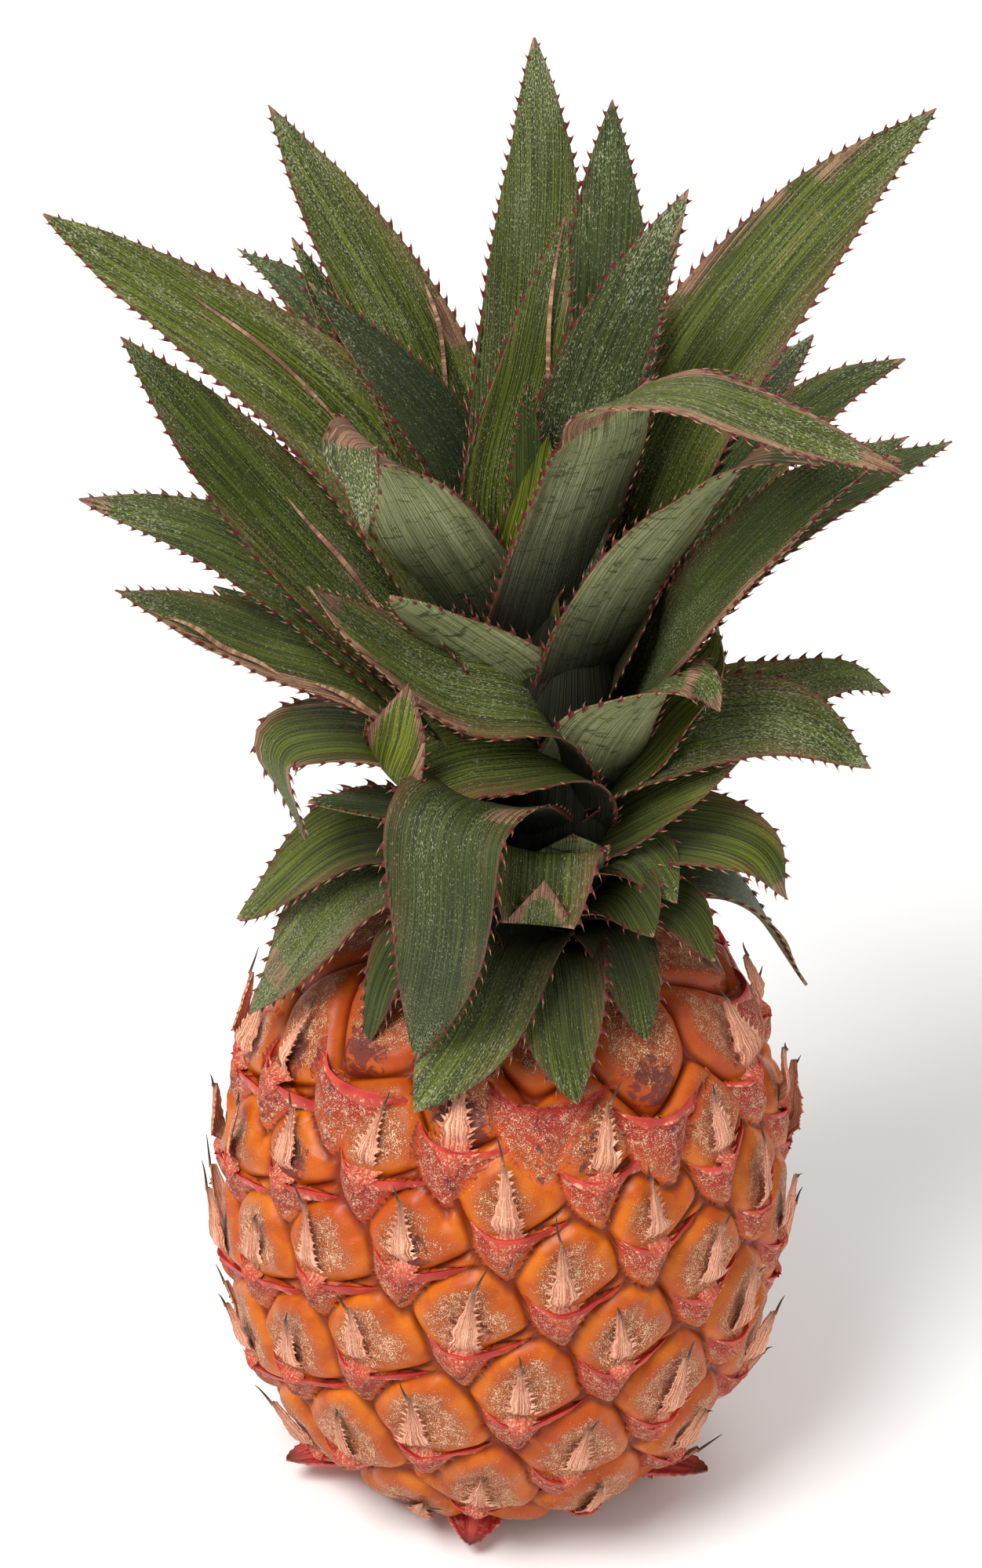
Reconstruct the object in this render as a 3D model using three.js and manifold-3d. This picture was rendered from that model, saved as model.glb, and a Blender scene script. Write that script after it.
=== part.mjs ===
// A small fresh pineapple: a rounded fruit covered in spiral eyes, each with its bract,
// under a crown of stiff spiny leaves. Millimetres, +Z up, origin in the middle of the cut base.
import * as THREE from "three";
import { mergeVertices } from "three/addons/utils/BufferGeometryUtils.js";
import Module from "manifold-3d";

const wasm = await Module();
wasm.setup();

// ---- Driving dimensions: millimetres and degrees ----

const GOLDEN_ANGLE = 137.508; // turn from one eye to the next

// The fruit's skin at the bottom of the grooves, a superellipse turned about +Z.
const BODY = { radius: 39.6, waist: 50, lower: 53, upper: 47, power: 2.33, top: 95.5 };

// Eye k lies at height low + span * (u + crowding * u * (1 - u)), with u = k / count.
const EYES = { first: 12, last: 103, count: 103, low: -13.4, span: 103.7, crowding: 0.31, start: 155.5 };

// Relief of one eye: how far each ring lies from its middle (share of the cell) and how high.
const EYE_RINGS = [
  { reach: 1, height: 0 },
  { reach: 0.8, height: 2 },
];
const EYE_MIDDLE = 2.7;
const BRACT_SWELL = { height: 1, below: 0.15 }; // the bract's base thickens the lower part of its eye
const EYE_FADE = { bottom: 7, top: 7 }; // the relief dies out over this height at both ends
const USUAL_CELL = 8.4; // mean reach of a full-sized eye cell

// A bract's cross-sections from its sunk root to its tip, on a full-sized eye.
const BRACT = [
  { up: -4.6, half: 2.8, height: 1.3, thick: 1.8 },
  { up: -1.5, half: 2.1, height: 3.8, thick: 1.1 },
];
const BRACT_TIP = { up: 7.5, height: 4.4, sway: 1.5 };
const BRACT_LIMIT = 86; // eyes above this height are tucked under the crown and have no free tip

// Broad bracts that stand out under the lowest eyes: azimuth, reach of the tip, height of the tip.
const BASE_BRACTS = [
  [20, 32, 5],
  [75, 33, 4],
  [135, 31, 5],
  [200, 33, 5],
  [262, 31, 4.5],
  [338, 34.5, 5],
];
const BASE_BRACT = { root: 20, height: 5.5, half: 6.5, thick: 1.6 };

// The crown stands on the fruit a little off its middle and leans to +X.
const CROWN = { x: 2.5, z: 98, lean: 2 };

// The crown's heart, where stem and leaf bases are wrapped into one: radius and height.
const STEM = [
  [0, -2.1],
  [11.6, -2.1],
  [12, 8],
  [11.6, 20],
  [10.4, 32],
  [8.6, 42],
  [6.2, 51],
  [3.6, 58],
  [0, 64],
];
const STEM_SIDES = 12;

// Leaf blade: thickness, clasping base, spines.
const BLADE = { middle: 1.2, edge: 0.62, clasp: 0.3, claspFade: 10, roll: 8, unroll: 0.45, taper: 3.6 };
const SPINE = { pitch: 10.5, height: 2, forward: 0.72, bare: 20 }; // no spines this near the root
const GAP = 0.3; // clearance between separate pieces

// Each leaf: name, azimuth, how far its heading turns, its midline as [out, up, sideways]
// in its own upright plane, its width, and its twist at half length and at the tip.
const LEAVES = [
  ["tallest", 112, 0, [[4, 36], [8, 66, 4], [20, 88], [32, 106, -4], [43, 120, -6]], 19, [0, 0]],
  ["torn_back", 105, 0, [[2, 38], [3, 66, 9], [8, 89, 5], [17, 106]], 14, [0, 0]],
  ["heart_right", 20, 0, [[-1, 40, 1], [0, 74, 1], [3, 92, 1], [8, 108], [12, 119, -1]], 15, [55, 60]],
  ["tall_back", 90, 0, [[4, 34], [12, 73, -2], [22, 94, -2], [35, 115, -1]], 18, [0, 0]],
  ["tall_right", 38, 0, [[5, 32], [12, 66, 1], [22, 86, 1], [41, 105, 1], [59, 117]], 21, [25, 30]],
  ["tall_left", 150, 0, [[5, 28], [17, 62, -1], [32, 88, -1], [54, 114]], 20, [-20, -20]],
  ["dark_left", 168, 0, [[5, 28], [12, 57, -1], [19, 75, -1], [40, 97]], 14, [-25, -30]],
  ["front_tall", 275, 60,
    [[3, 22], [3, 43, -3], [6, 66, -1], [12, 87, 2], [20, 98, 2], [27, 104, 11], [30, 102, 22], [34, 97, 40]],
    17, [-30, 40]],
  ["hanging_tip", 240, -20,
    [[3, 26], [7, 49, -8], [15, 66, -14], [24, 82, -17], [31, 87, -18], [34, 83, -14], [34, 76, -13]],
    18, [45, -45]],
  ["pale_right", 310, 25,
    [[4, 20], [5, 39], [10, 57], [15, 71, 4], [24, 86, 8], [30, 90, 14], [36, 87, 27]],
    15, [-35, 30]],
  ["behind_left", 156, 0, [[6, 24], [23, 61], [35, 82], [46, 98]], 12, [-30, -35]],
  ["far_left", 172, 0, [[5, 28], [15, 48], [36, 78, -1], [77, 103]], 21, [-28, -30]],
  ["behind_right", 5, 0, [[6, 20], [18, 63], [26, 79, 1], [35, 89, 1], [44, 95]], 15, [35, 40]],
  ["rolled_right", 325, 15,
    [[7, 18, 1], [11, 40, 6], [19, 58, 3], [28, 74, 3], [37, 87, 4], [48, 98, 7]],
    15, [38, 48]],
  ["pale_left", 235, -20, [[4, 22], [7, 41, -1], [16, 52, -7], [27, 62, -11]], 15, [45, 45]],
  ["folded_left", 240, -25,
    [[5, 20], [8, 40, 2], [18, 46, -9], [28, 57, -18], [32, 63, -23]],
    18, [-35, -35]],
  ["curled_left", 140, 0, [[6, 18], [34, 62], [49, 77], [56, 81], [66, 82]], 13, [-30, -25]],
  ["split_left", 185, 0, [[6, 22], [20, 43], [43, 69], [64, 94]], 19, [-40, -45]],
  ["green_right", 350, 0, [[6, 18], [16, 39], [22, 48], [22, 54]], 16, [40, 40]],
  ["arching_right", 290, 30,
    [[6, 10], [9, 28, 2], [13, 40, 4], [18, 50, 9], [21, 52, 13], [22, 47, 16]],
    17, [-30, 30]],
  ["tip_up", 255, -45,
    [[5, 14], [8, 32, 3], [15, 35, -8], [21, 32, -17], [24, 42, -16], [25, 51, -15]],
    18, [-25, 55]],
  ["wide_right", 350, 0, [[6, 14], [13, 30], [24, 38], [35, 40], [46, 34, 1]], 17, [30, 35]],
  ["far_right", 10, 0, [[6, 12], [22, 34], [33, 38], [42, 40], [49, 37]], 12, [30, 35]],
  ["dark_low", 174, 0, [[7, 10], [14, 25], [27, 37], [50, 48]], 12, [-20, -20]],
  ["brown_tip", 188, 0, [[6, 18], [20, 39], [36, 55], [52, 65], [69, 70]], 18, [-26, -28]],
  ["torn", 205, -9, [[7, 8], [24, 40, -3], [44, 51, -7], [64, 61, -10]], 17, [-24, -26]],
  ["front_big", 250, 0,
    [[7, 10], [10, 19, -2], [21, 31, -2], [32, 33, -3], [37, 18, -1], [34, -6, -4]],
    19, [0, 0]],
  ["recurved", 215, -10,
    [[7, 6], [12, 22, -3], [23, 32, -7], [35, 36, -9], [40, 33, -10], [38, 22, -4]],
    18, [-10, -10]],
  ["low_right", 320, 15, [[7, 6], [9, 17, 1], [18, 28, 5], [26, 35, 11]], 14, [45, 45]],
  ["under_recurved", 215, 0, [[7, 6], [18, 21], [33, 29], [41, 32]], 11, [0, 0]],
  ["right_curl", 345, 0, [[7, 6], [15, 17], [24, 20], [32, 19], [37, 12]], 15, [20, 20]],
  ["right_short", 322, 0, [[7, 5], [11, 15], [18, 19], [25, 14]], 13, [20, 25]],
  ["olive", 308, 10, [[8, 3], [14, 11], [20, 15], [27, 12]], 14, [20, 25]],
  ["front_tucked", 270, 0,
    [[9, 2], [13, 11], [18, 21], [24, 26], [28, 22], [29, 18], [31, 27]],
    18, [0, 0]],
  ["shoulder_left", 186, 0, [[8, 5], [19, 13, 1], [30, 12, 1], [43, -3]], 16, [-15, -15]],
  ["right_arch", 330, 0, [[8, 2], [16, 8], [24, 10], [30, 4]], 12, [10, 10]],
  ["wide_left", 197, 0, [[8, 1], [17, 10], [28, 7], [42, -14]], 19, [-10, -10]],
  ["front_low", 252, 0, [[8, 1], [22, 7, 2], [30, -1, 1], [37, -13, -4]], 18, [0, 0]],
  ["front_right", 278, 0, [[8, 0], [20, 5], [30, -2, 1], [35, -9, 3]], 15, [0, 0]],
  ["right_low", 308, 0, [[8, 1], [17, 7], [23, 3], [28, -6]], 11, [10, 15]],
  ["small_dark", 222, 0, [[8, -1], [22, 5], [28, 0], [31, -13]], 9, [0, 0]],
  ["front_small", 262, 0, [[8, -2], [20, 1], [26, -3], [31, -8]], 7, [0, 0]],
];

// Short young leaves that have grown together with the tip of the stem.
const HEART_LEAVES = [
  ["young_back", 60, 0, [[2, 34], [10, 76], [16, 88], [20, 97]], 11, [0, 0]],
  ["young_left", 195, 0, [[1.5, 38], [5, 63], [7, 78], [8, 90]], 7, [60, 60]],
  ["young_green", 210, 0, [[1.5, 38], [7, 60], [6, 71], [5, 82]], 10, [35, 35]],
];

// Short leaf bases wrapped round the heart where no long leaf hides it: azimuth and lowest point.
const SHEATHS = [[350, -2], [28, 4], [64, 9], [108, 7], [150, 5], [196, 0], [288, 2]];
const SHEATH = { length: 21, lift: 0.4, flare: 2.2, width: 19 };

// The far side, tier by tier: azimuths, midline and width. Sizes and droop vary from leaf to leaf.
const BACK_TIERS = [
  {
    name: "rising",
    azimuths: [22, 56, 90, 124],
    path: [[6, 18], [16, 46], [33, 66], [56, 76]],
    width: 16,
  },
  {
    name: "spread",
    azimuths: [28, 58, 88, 118, 148],
    path: [[8, 4], [15, 18], [30, 28], [48, 23]],
    width: 17,
  },
  {
    name: "shoulder",
    azimuths: [12, 42, 72, 102, 132, 160],
    path: [[8, -2.5], [19, 5], [30, 2.5], [41, -13]],
    width: 16,
  },
];
const BACK_VARIATION = { size: 0.11, height: 4, azimuth: 5, twist: 12 };

const COLOURS = {
  fruit: { color: 0xd9812e, roughness: 0.5, metalness: 0 },
  leaf: { color: 0x4f6a34, roughness: 0.7, metalness: 0 },
  heart: { color: 0x63743f, roughness: 0.75, metalness: 0 },
};

// ---- Helpers ----

const radians = (degrees) => (degrees * Math.PI) / 180;
const smooth = (x) => x * x * (3 - 2 * x);
const clamp01 = (x) => Math.min(1, Math.max(0, x));

// A repeatable stream of random numbers from -1 to 1.
function seeded(seed) {
  let state = seed;
  return () => {
    state = (state * 1103515245 + 12345) % 2147483648;
    return (state / 2147483648) * 2 - 1;
  };
}

// A closed solid from corner points and faces given as lists of corners.
function solidFrom(points, faces) {
  const corners = [];
  for (const face of faces) {
    for (let i = 1; i + 1 < face.length; i++) {
      corners.push(points[face[0]], points[face[i]], points[face[i + 1]]);
    }
  }
  const raw = new THREE.BufferGeometry().setFromPoints(corners);
  return solidOf(raw);
}

function solidOf(geometry) {
  const bare = geometry.index ? geometry.toNonIndexed() : geometry;
  for (const name of ["normal", "uv"]) bare.deleteAttribute(name);
  const merged = mergeVertices(bare, 1e-3);
  const index = merged.index.array;
  const kept = [];
  for (let i = 0; i < index.length; i += 3) {
    const [a, b, c] = [index[i], index[i + 1], index[i + 2]];
    if (a !== b && b !== c && c !== a) kept.push(a, b, c);
  }
  const vertProperties = merged.attributes.position.array;
  return new wasm.Manifold(new wasm.Mesh({ numProp: 3, vertProperties, triVerts: new Uint32Array(kept) }));
}

function geometryOf(solid) {
  const mesh = solid.getMesh();
  const geometry = new THREE.BufferGeometry();
  geometry.setAttribute("position", new THREE.BufferAttribute(mesh.vertProperties, 3));
  geometry.setIndex(new THREE.BufferAttribute(mesh.triVerts, 1));
  geometry.computeVertexNormals();
  return geometry;
}

// The main body alone, without loose scraps and with sealed pockets filled.
function mainBody(solid) {
  const bodies = solidOf(geometryOf(solid)).decompose();
  return bodies.reduce((best, body) => (body.volume() > best.volume() ? body : best));
}

// ---- Fruit ----

function bodyRadius(z) {
  const reach = z < BODY.waist ? BODY.lower : BODY.upper;
  const t = clamp01(Math.abs(z - BODY.waist) / reach);
  return BODY.radius * (1 - t ** BODY.power) ** (1 / BODY.power);
}

// Unrolling the skin so that angles stay true: distance upward counts in units of the radius there.
const UNROLL_STEPS = 600;
const unrolled = [{ z: 0, t: 0 }];
for (let i = 1; i <= UNROLL_STEPS; i++) {
  const z0 = (BODY.top * (i - 1)) / UNROLL_STEPS;
  const z1 = (BODY.top * i) / UNROLL_STEPS;
  const [r0, r1] = [bodyRadius(z0), bodyRadius(z1)];
  const t = unrolled[i - 1].t + Math.hypot(z1 - z0, r1 - r0) / ((r0 + r1) / 2);
  unrolled.push({ z: z1, t });
}
const UNROLL_TOP = unrolled[UNROLL_STEPS].t;

function lookUp(from, to, value) {
  let low = 0;
  let high = UNROLL_STEPS;
  while (high - low > 1) {
    const half = (low + high) >> 1;
    if (unrolled[half][from] <= value) low = half;
    else high = half;
  }
  const [a, b] = [unrolled[low], unrolled[high]];
  return a[to] + ((b[to] - a[to]) * (value - a[from])) / (b[from] - a[from]);
}

function skinPoint(angle, t, height) {
  const z = lookUp("t", "z", Math.min(UNROLL_TOP, Math.max(0, t)));
  const slope = (bodyRadius(z + 0.1) - bodyRadius(z - 0.1)) / 0.2;
  const tilt = Math.hypot(1, slope);
  const r = bodyRadius(z) + height / tilt;
  return new THREE.Vector3(r * Math.cos(angle), r * Math.sin(angle), z - (height * slope) / tilt);
}

function eyeFade(t) {
  const z = lookUp("t", "z", Math.min(UNROLL_TOP, Math.max(0, t)));
  return clamp01(z / EYE_FADE.bottom) * clamp01((BODY.top - z) / EYE_FADE.top);
}

function eyeSites() {
  const sites = [];
  for (let k = EYES.first; k <= EYES.last; k++) {
    const u = k / EYES.count;
    const z = EYES.low + EYES.span * (u + EYES.crowding * u * (1 - u));
    sites.push({ z, angle: radians(EYES.start + k * GOLDEN_ANGLE), t: lookUp("z", "t", z) });
  }
  return sites;
}

// The part of a polygon where x * nx + y * ny <= limit.
function clip(polygon, nx, ny, limit) {
  const kept = [];
  polygon.forEach((p, i) => {
    const q = polygon[(i + 1) % polygon.length];
    const dp = p[0] * nx + p[1] * ny - limit;
    const dq = q[0] * nx + q[1] * ny - limit;
    if (dp <= 0) kept.push(p);
    if (dp * dq < 0) {
      const s = dp / (dp - dq);
      kept.push([p[0] + s * (q[0] - p[0]), p[1] + s * (q[1] - p[1])]);
    }
  });
  return kept;
}

// The cell of skin nearer to this eye than to any other, around the eye's own middle.
function eyeCell(site, sites) {
  let cell = [[-2, -site.t], [2, -site.t], [2, UNROLL_TOP - site.t], [-2, UNROLL_TOP - site.t]];
  for (const other of sites) {
    if (other === site) continue;
    const turn = other.angle - site.angle;
    const dx = turn - 2 * Math.PI * Math.round(turn / (2 * Math.PI));
    const dy = other.t - site.t;
    cell = clip(cell, dx, dy, (dx * dx + dy * dy) / 2);
  }
  return cell;
}

function bodySolid(sites, cells, grow = 0) {
  const points = [];
  const faces = [];
  const add = (point) => points.push(point) - 1;
  const bottom = add(new THREE.Vector3(0, 0, -grow));
  const top = add(new THREE.Vector3(0, 0, BODY.top + grow));
  sites.forEach((site, s) => {
    const cell = cells[s];
    const rings = EYE_RINGS.map(({ reach, height }) =>
      cell.map(([x, y]) => {
        const onEdge = reach === 1 && (site.t + y < 1e-9 || site.t + y > UNROLL_TOP - 1e-9);
        const swell = reach < 1 ? BRACT_SWELL.height * clamp01(-y / BRACT_SWELL.below) : 0;
        const relief = (height + swell) * eyeFade(site.t + y * reach);
        const point = skinPoint(site.angle + x * reach, site.t + y * reach, relief + grow);
        if (onEdge) point.z += site.t + y < 1e-9 ? -grow : grow;
        return add(point);
      }),
    );
    const middle = add(skinPoint(site.angle, site.t, EYE_MIDDLE * eyeFade(site.t) + grow));
    cell.forEach((corner, i) => {
      const j = (i + 1) % cell.length;
      for (let ring = 0; ring + 1 < rings.length; ring++) {
        faces.push([rings[ring][i], rings[ring][j], rings[ring + 1][j], rings[ring + 1][i]]);
      }
      faces.push([rings[rings.length - 1][i], rings[rings.length - 1][j], middle]);
      const [y0, y1] = [site.t + corner[1], site.t + cell[j][1]];
      if (y0 < 1e-9 && y1 < 1e-9) faces.push([rings[0][j], rings[0][i], bottom]);
      if (y0 > UNROLL_TOP - 1e-9 && y1 > UNROLL_TOP - 1e-9) faces.push([rings[0][j], rings[0][i], top]);
    });
  });
  return solidFrom(points, faces);
}

// A flattened spike through diamond-shaped sections, from a sunk root to a point.
function spikeSolid(sections, tip) {
  const points = [];
  for (const { middle, across, out } of sections) {
    points.push(
      middle.clone().sub(across),
      middle.clone().sub(out),
      middle.clone().add(across),
      middle.clone().add(out),
    );
  }
  const end = points.push(tip) - 1;
  const faces = [[3, 2, 1, 0]];
  for (let s = 0; s < sections.length; s++) {
    for (let i = 0; i < 4; i++) {
      const a = s * 4 + i;
      const b = s * 4 + ((i + 1) % 4);
      faces.push(s + 1 < sections.length ? [a, b, b + 4, a + 4] : [a, b, end]);
    }
  }
  return solidFrom(points, faces);
}

function bractSolid(site, cell, random) {
  const middle = skinPoint(site.angle, site.t, 0);
  const outward = skinPoint(site.angle, site.t, 1).sub(middle).normalize();
  const across = new THREE.Vector3(-Math.sin(site.angle), Math.cos(site.angle), 0);
  const upward = outward.clone().cross(across);
  const reach = cell.map(([x, y]) => skinPoint(site.angle + x, site.t + y, 0).distanceTo(middle));
  const scale = reach.reduce((sum, r) => sum + r, 0) / reach.length / USUAL_CELL;
  const place = (up, height, side) =>
    middle
      .clone()
      .addScaledVector(upward, up * scale)
      .addScaledVector(outward, height * scale)
      .addScaledVector(across, side * scale);
  const sections = BRACT.map(({ up, half, height, thick }) => ({
    middle: place(up, height, 0),
    across: across.clone().multiplyScalar(half * scale),
    out: outward.clone().multiplyScalar((thick / 2) * scale),
  }));
  const tip = place(
    BRACT_TIP.up + random() * 0.8,
    BRACT_TIP.height + random() * 0.9,
    BRACT_TIP.sway * random(),
  );
  return spikeSolid(sections, tip);
}

function baseBractSolid([azimuth, reach, height]) {
  const angle = radians(azimuth);
  const outward = new THREE.Vector3(Math.cos(angle), Math.sin(angle), 0);
  const across = new THREE.Vector3(-Math.sin(angle), Math.cos(angle), 0);
  const upward = new THREE.Vector3(0, 0, 1);
  const at = (out, up) => outward.clone().multiplyScalar(out).addScaledVector(upward, up);
  const section = (out, up, half, thick) => ({
    middle: at(out, up),
    across: across.clone().multiplyScalar(-half),
    out: upward.clone().multiplyScalar(thick / 2),
  });
  const { root, height: start, half, thick } = BASE_BRACT;
  const knee = (root + reach) / 2 + 1;
  const sections = [section(root, start, half, thick), section(knee, start - 0.6, half * 0.75, thick * 0.8)];
  return spikeSolid(sections, at(reach, height));
}

function makeFruit() {
  const sites = eyeSites();
  const cells = sites.map((site) => eyeCell(site, sites));
  const random = seeded(7);
  const pieces = [bodySolid(sites, cells)];
  sites.forEach((site, s) => {
    const bract = bractSolid(site, cells[s], random);
    if (site.z < BRACT_LIMIT && bract.boundingBox().min[2] > GAP) pieces.push(bract);
  });
  pieces.push(...BASE_BRACTS.map(baseBractSolid));
  return { solid: mainBody(wasm.Manifold.union(pieces)), clearance: bodySolid(sites, cells, GAP + 0.05) };
}

// ---- Crown ----

// One blade as a closed solid, grown by a margin on all sides when it serves as a clearance.
function leafSolid([, azimuth, turn, path, width, twist], grow = 0) {
  const angle = radians(azimuth);
  const outward = new THREE.Vector3(Math.cos(angle), Math.sin(angle), 0);
  const sideways = new THREE.Vector3(-Math.sin(angle), Math.cos(angle), 0);
  const midline = new THREE.CatmullRomCurve3(
    path.map(([out, up, side = 0]) =>
      outward.clone().multiplyScalar(out).addScaledVector(sideways, side).setZ(up)),
    false,
    "catmullrom",
    0.5,
  );
  const length = midline.getLength();
  const stations = Math.max(5, Math.round(length / SPINE.pitch));
  const points = [];
  const faces = [];
  const frames = [];
  for (let i = 0; i < stations; i++) {
    const s = i / stations;
    const along = midline.getTangentAt(s);
    const half = smooth(clamp01(s / 0.5));
    const late = smooth(clamp01((s - 0.5) / 0.5));
    const heading = angle + radians(turn) * half;
    const across = new THREE.Vector3(-Math.sin(heading), Math.cos(heading), 0);
    across.addScaledVector(along, -across.dot(along)).normalize();
    across.applyAxisAngle(along, radians(twist[0] * half + (twist[1] - twist[0]) * late));
    const face = along.clone().cross(across);
    const from = s * length;
    const clasp = 1 + BLADE.clasp * Math.exp(-from / BLADE.claspFade);
    const reach = (width / 2) * (1 - s ** BLADE.taper) * clasp + grow;
    const roll = BLADE.roll + BLADE.unroll * from;
    const place = (share, lift) => {
      const bend = (reach * share) / roll;
      return midline.getPointAt(s)
        .addScaledVector(across, roll * Math.sin(bend))
        .addScaledVector(face, roll * (1 - Math.cos(bend)) + lift);
    };
    const middle = BLADE.middle / 2 + grow;
    const edge = BLADE.edge / 2 + grow;
    points.push(place(-1, edge), place(0, middle), place(1, edge));
    points.push(place(-1, -edge), place(0, -middle), place(1, -edge));
    frames.push({ along, across, face, reach, roll });
  }
  const end = points.push(midline.getPointAt(1).addScaledVector(frames[stations - 1].along, grow)) - 1;
  faces.push([0, 1, 4, 3], [1, 2, 5, 4]);
  for (let i = 0; i < stations; i++) {
    const a = i * 6;
    if (i === stations - 1) {
      faces.push([a, end, a + 1], [a + 1, end, a + 2], [a + 4, end, a + 3], [a + 5, end, a + 4]);
      faces.push([a + 3, end, a], [a + 2, end, a + 5]);
      break;
    }
    const b = a + 6;
    faces.push([a, b + 1, a + 1], [a, b, b + 1], [a + 1, b + 1, a + 2], [a + 2, b + 1, b + 2]);
    faces.push([a + 3, a + 4, b + 4], [a + 3, b + 4, b + 3], [a + 4, a + 5, b + 4], [a + 5, b + 5, b + 4]);
    for (const [corner, sign] of [[0, -1], [2, 1]]) {
      const [t0, t1, b0, b1] = [a + corner, b + corner, a + 3 + corner, b + 3 + corner];
      const { across, face, reach, roll } = frames[i];
      const bend = reach / roll;
      const spine = points[t0].clone().lerp(points[t1], SPINE.forward)
        .lerp(points[b0].clone().lerp(points[b1], SPINE.forward), 0.5)
        .addScaledVector(across, sign * (SPINE.height + grow) * Math.cos(bend))
        .addScaledVector(face, (SPINE.height + grow) * Math.sin(bend));
      const apex = points.push(spine) - 1;
      const loop = sign < 0 ? [b0, b1, t1, t0] : [t0, t1, b1, b0];
      if ((i * length) / stations < SPINE.bare) {
        faces.push(loop);
        continue;
      }
      loop.forEach((corner0, n) => faces.push([corner0, loop[(n + 1) % 4], apex]));
    }
  }
  return solidFrom(points, faces);
}

function stemSolid(grow = 0) {
  const profile = STEM.map(([r, z], i) =>
    new THREE.Vector2(r ? r + grow : 0, i === STEM.length - 1 ? z + grow : z - (i < 2 ? grow : 0)));
  const lathe = new THREE.LatheGeometry(profile, STEM_SIDES);
  lathe.rotateX(Math.PI / 2);
  return solidOf(lathe);
}

function stemRadius(z) {
  const above = STEM.findIndex(([, height]) => height > z);
  const [[r0, z0], [r1, z1]] = [STEM[above - 1], STEM[above]];
  return r0 + ((r1 - r0) * (z - z0)) / (z1 - z0);
}

function sheathLeaves() {
  return SHEATHS.map(([azimuth, low], i) => {
    const path = [0, 0.33, 0.67, 1].map((share) => {
      const z = low + SHEATH.length * share;
      return [stemRadius(z) + SHEATH.lift + SHEATH.flare * share ** 2, z];
    });
    return [`sheath_${i + 1}`, azimuth, 0, path, SHEATH.width, [0, 0]];
  });
}

function backLeaves() {
  const random = seeded(5);
  return BACK_TIERS.flatMap(({ name, azimuths, path, width }) =>
    azimuths.map((azimuth, i) => {
      const size = 1 + BACK_VARIATION.size * random();
      const lift = BACK_VARIATION.height * random();
      const twist = BACK_VARIATION.twist * random();
      const varied = path.map(([out, up], p) => (p ? [out * size, up + (lift * p) / 2] : [out, up]));
      const turned = azimuth + BACK_VARIATION.azimuth * random();
      return [`back_${name}_${i + 1}`, turned, 0, varied, width, [twist, twist]];
    }),
  );
}

const mesh = (name, solid, look) => {
  const made = new THREE.Mesh(geometryOf(solid), new THREE.MeshStandardMaterial(look));
  made.name = name;
  return made;
};

const crown = new THREE.Group();
crown.position.set(CROWN.x, 0, CROWN.z);
crown.rotation.y = radians(CROWN.lean);
crown.updateMatrixWorld();

const fruit = makeFruit();
const toCrown = crown.matrixWorld.clone().invert();
const shoulder = fruit.clearance.transform(toCrown.elements);

const heartLeaves = [...HEART_LEAVES, ...sheathLeaves()];
const heart = wasm.Manifold.union([stemSolid(), ...heartLeaves.map((leaf) => leafSolid(leaf))]);
crown.add(mesh("crown_heart", mainBody(heart.subtract(shoulder)), COLOURS.heart));

// Each leaf is cut back where it would run into the fruit, the stem or a leaf made before it.
const heartRoom = heartLeaves.map((leaf) => leafSolid(leaf, GAP));
let taken = wasm.Manifold.union([shoulder, stemSolid(GAP), ...heartRoom]);
for (const leaf of [...LEAVES, ...backLeaves()]) {
  const clear = leafSolid(leaf).subtract(taken);
  crown.add(mesh(`leaf_${leaf[0]}`, mainBody(clear), COLOURS.leaf));
  taken = taken.add(leafSolid(leaf, GAP));
}

const pineapple = new THREE.Group();
pineapple.name = "pineapple";
pineapple.add(mesh("fruit", fruit.solid, COLOURS.fruit), crown);

export default pineapple;
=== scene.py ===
# %% [markdown]
# # A small pineapple
# The model is built round a fixed frame: the solids of the fruit, the heart of the crown and every
# leaf. Here each of them gets a fine surface of the same form. We load the frame first. Nothing that
# we add may reach outside it.

import math

import bpy
import numpy as np
from mathutils import Matrix, Vector


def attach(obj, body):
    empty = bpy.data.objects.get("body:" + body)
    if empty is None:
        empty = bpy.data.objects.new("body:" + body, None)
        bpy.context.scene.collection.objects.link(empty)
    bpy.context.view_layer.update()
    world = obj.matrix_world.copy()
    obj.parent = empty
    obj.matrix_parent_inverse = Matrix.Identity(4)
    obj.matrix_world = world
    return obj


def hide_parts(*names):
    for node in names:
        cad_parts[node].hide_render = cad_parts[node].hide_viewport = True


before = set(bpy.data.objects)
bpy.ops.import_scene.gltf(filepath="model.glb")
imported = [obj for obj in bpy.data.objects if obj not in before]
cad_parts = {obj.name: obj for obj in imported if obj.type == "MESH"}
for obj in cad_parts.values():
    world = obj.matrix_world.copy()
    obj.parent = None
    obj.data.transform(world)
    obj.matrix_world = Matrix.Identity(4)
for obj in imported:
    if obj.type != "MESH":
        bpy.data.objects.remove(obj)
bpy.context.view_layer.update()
print("solids in the frame:", len(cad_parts))

# %% [markdown]
# ## Camera
# The fruit is looked down on from 34 degrees, from far enough away for the lines to stay nearly
# parallel. A long lens does that. The camera is also rolled a little, which makes the fruit lean.
# A camera looks along its own -Z, so we build its three axes ourselves and set them as a matrix.

# %% Camera
EYE = Vector((0.0, -0.7092, 0.6041))
AIM = Vector((-0.0049, 0.0355, 0.0955))
ROLL = math.radians(2.7)
LENS = 137.2

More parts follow.
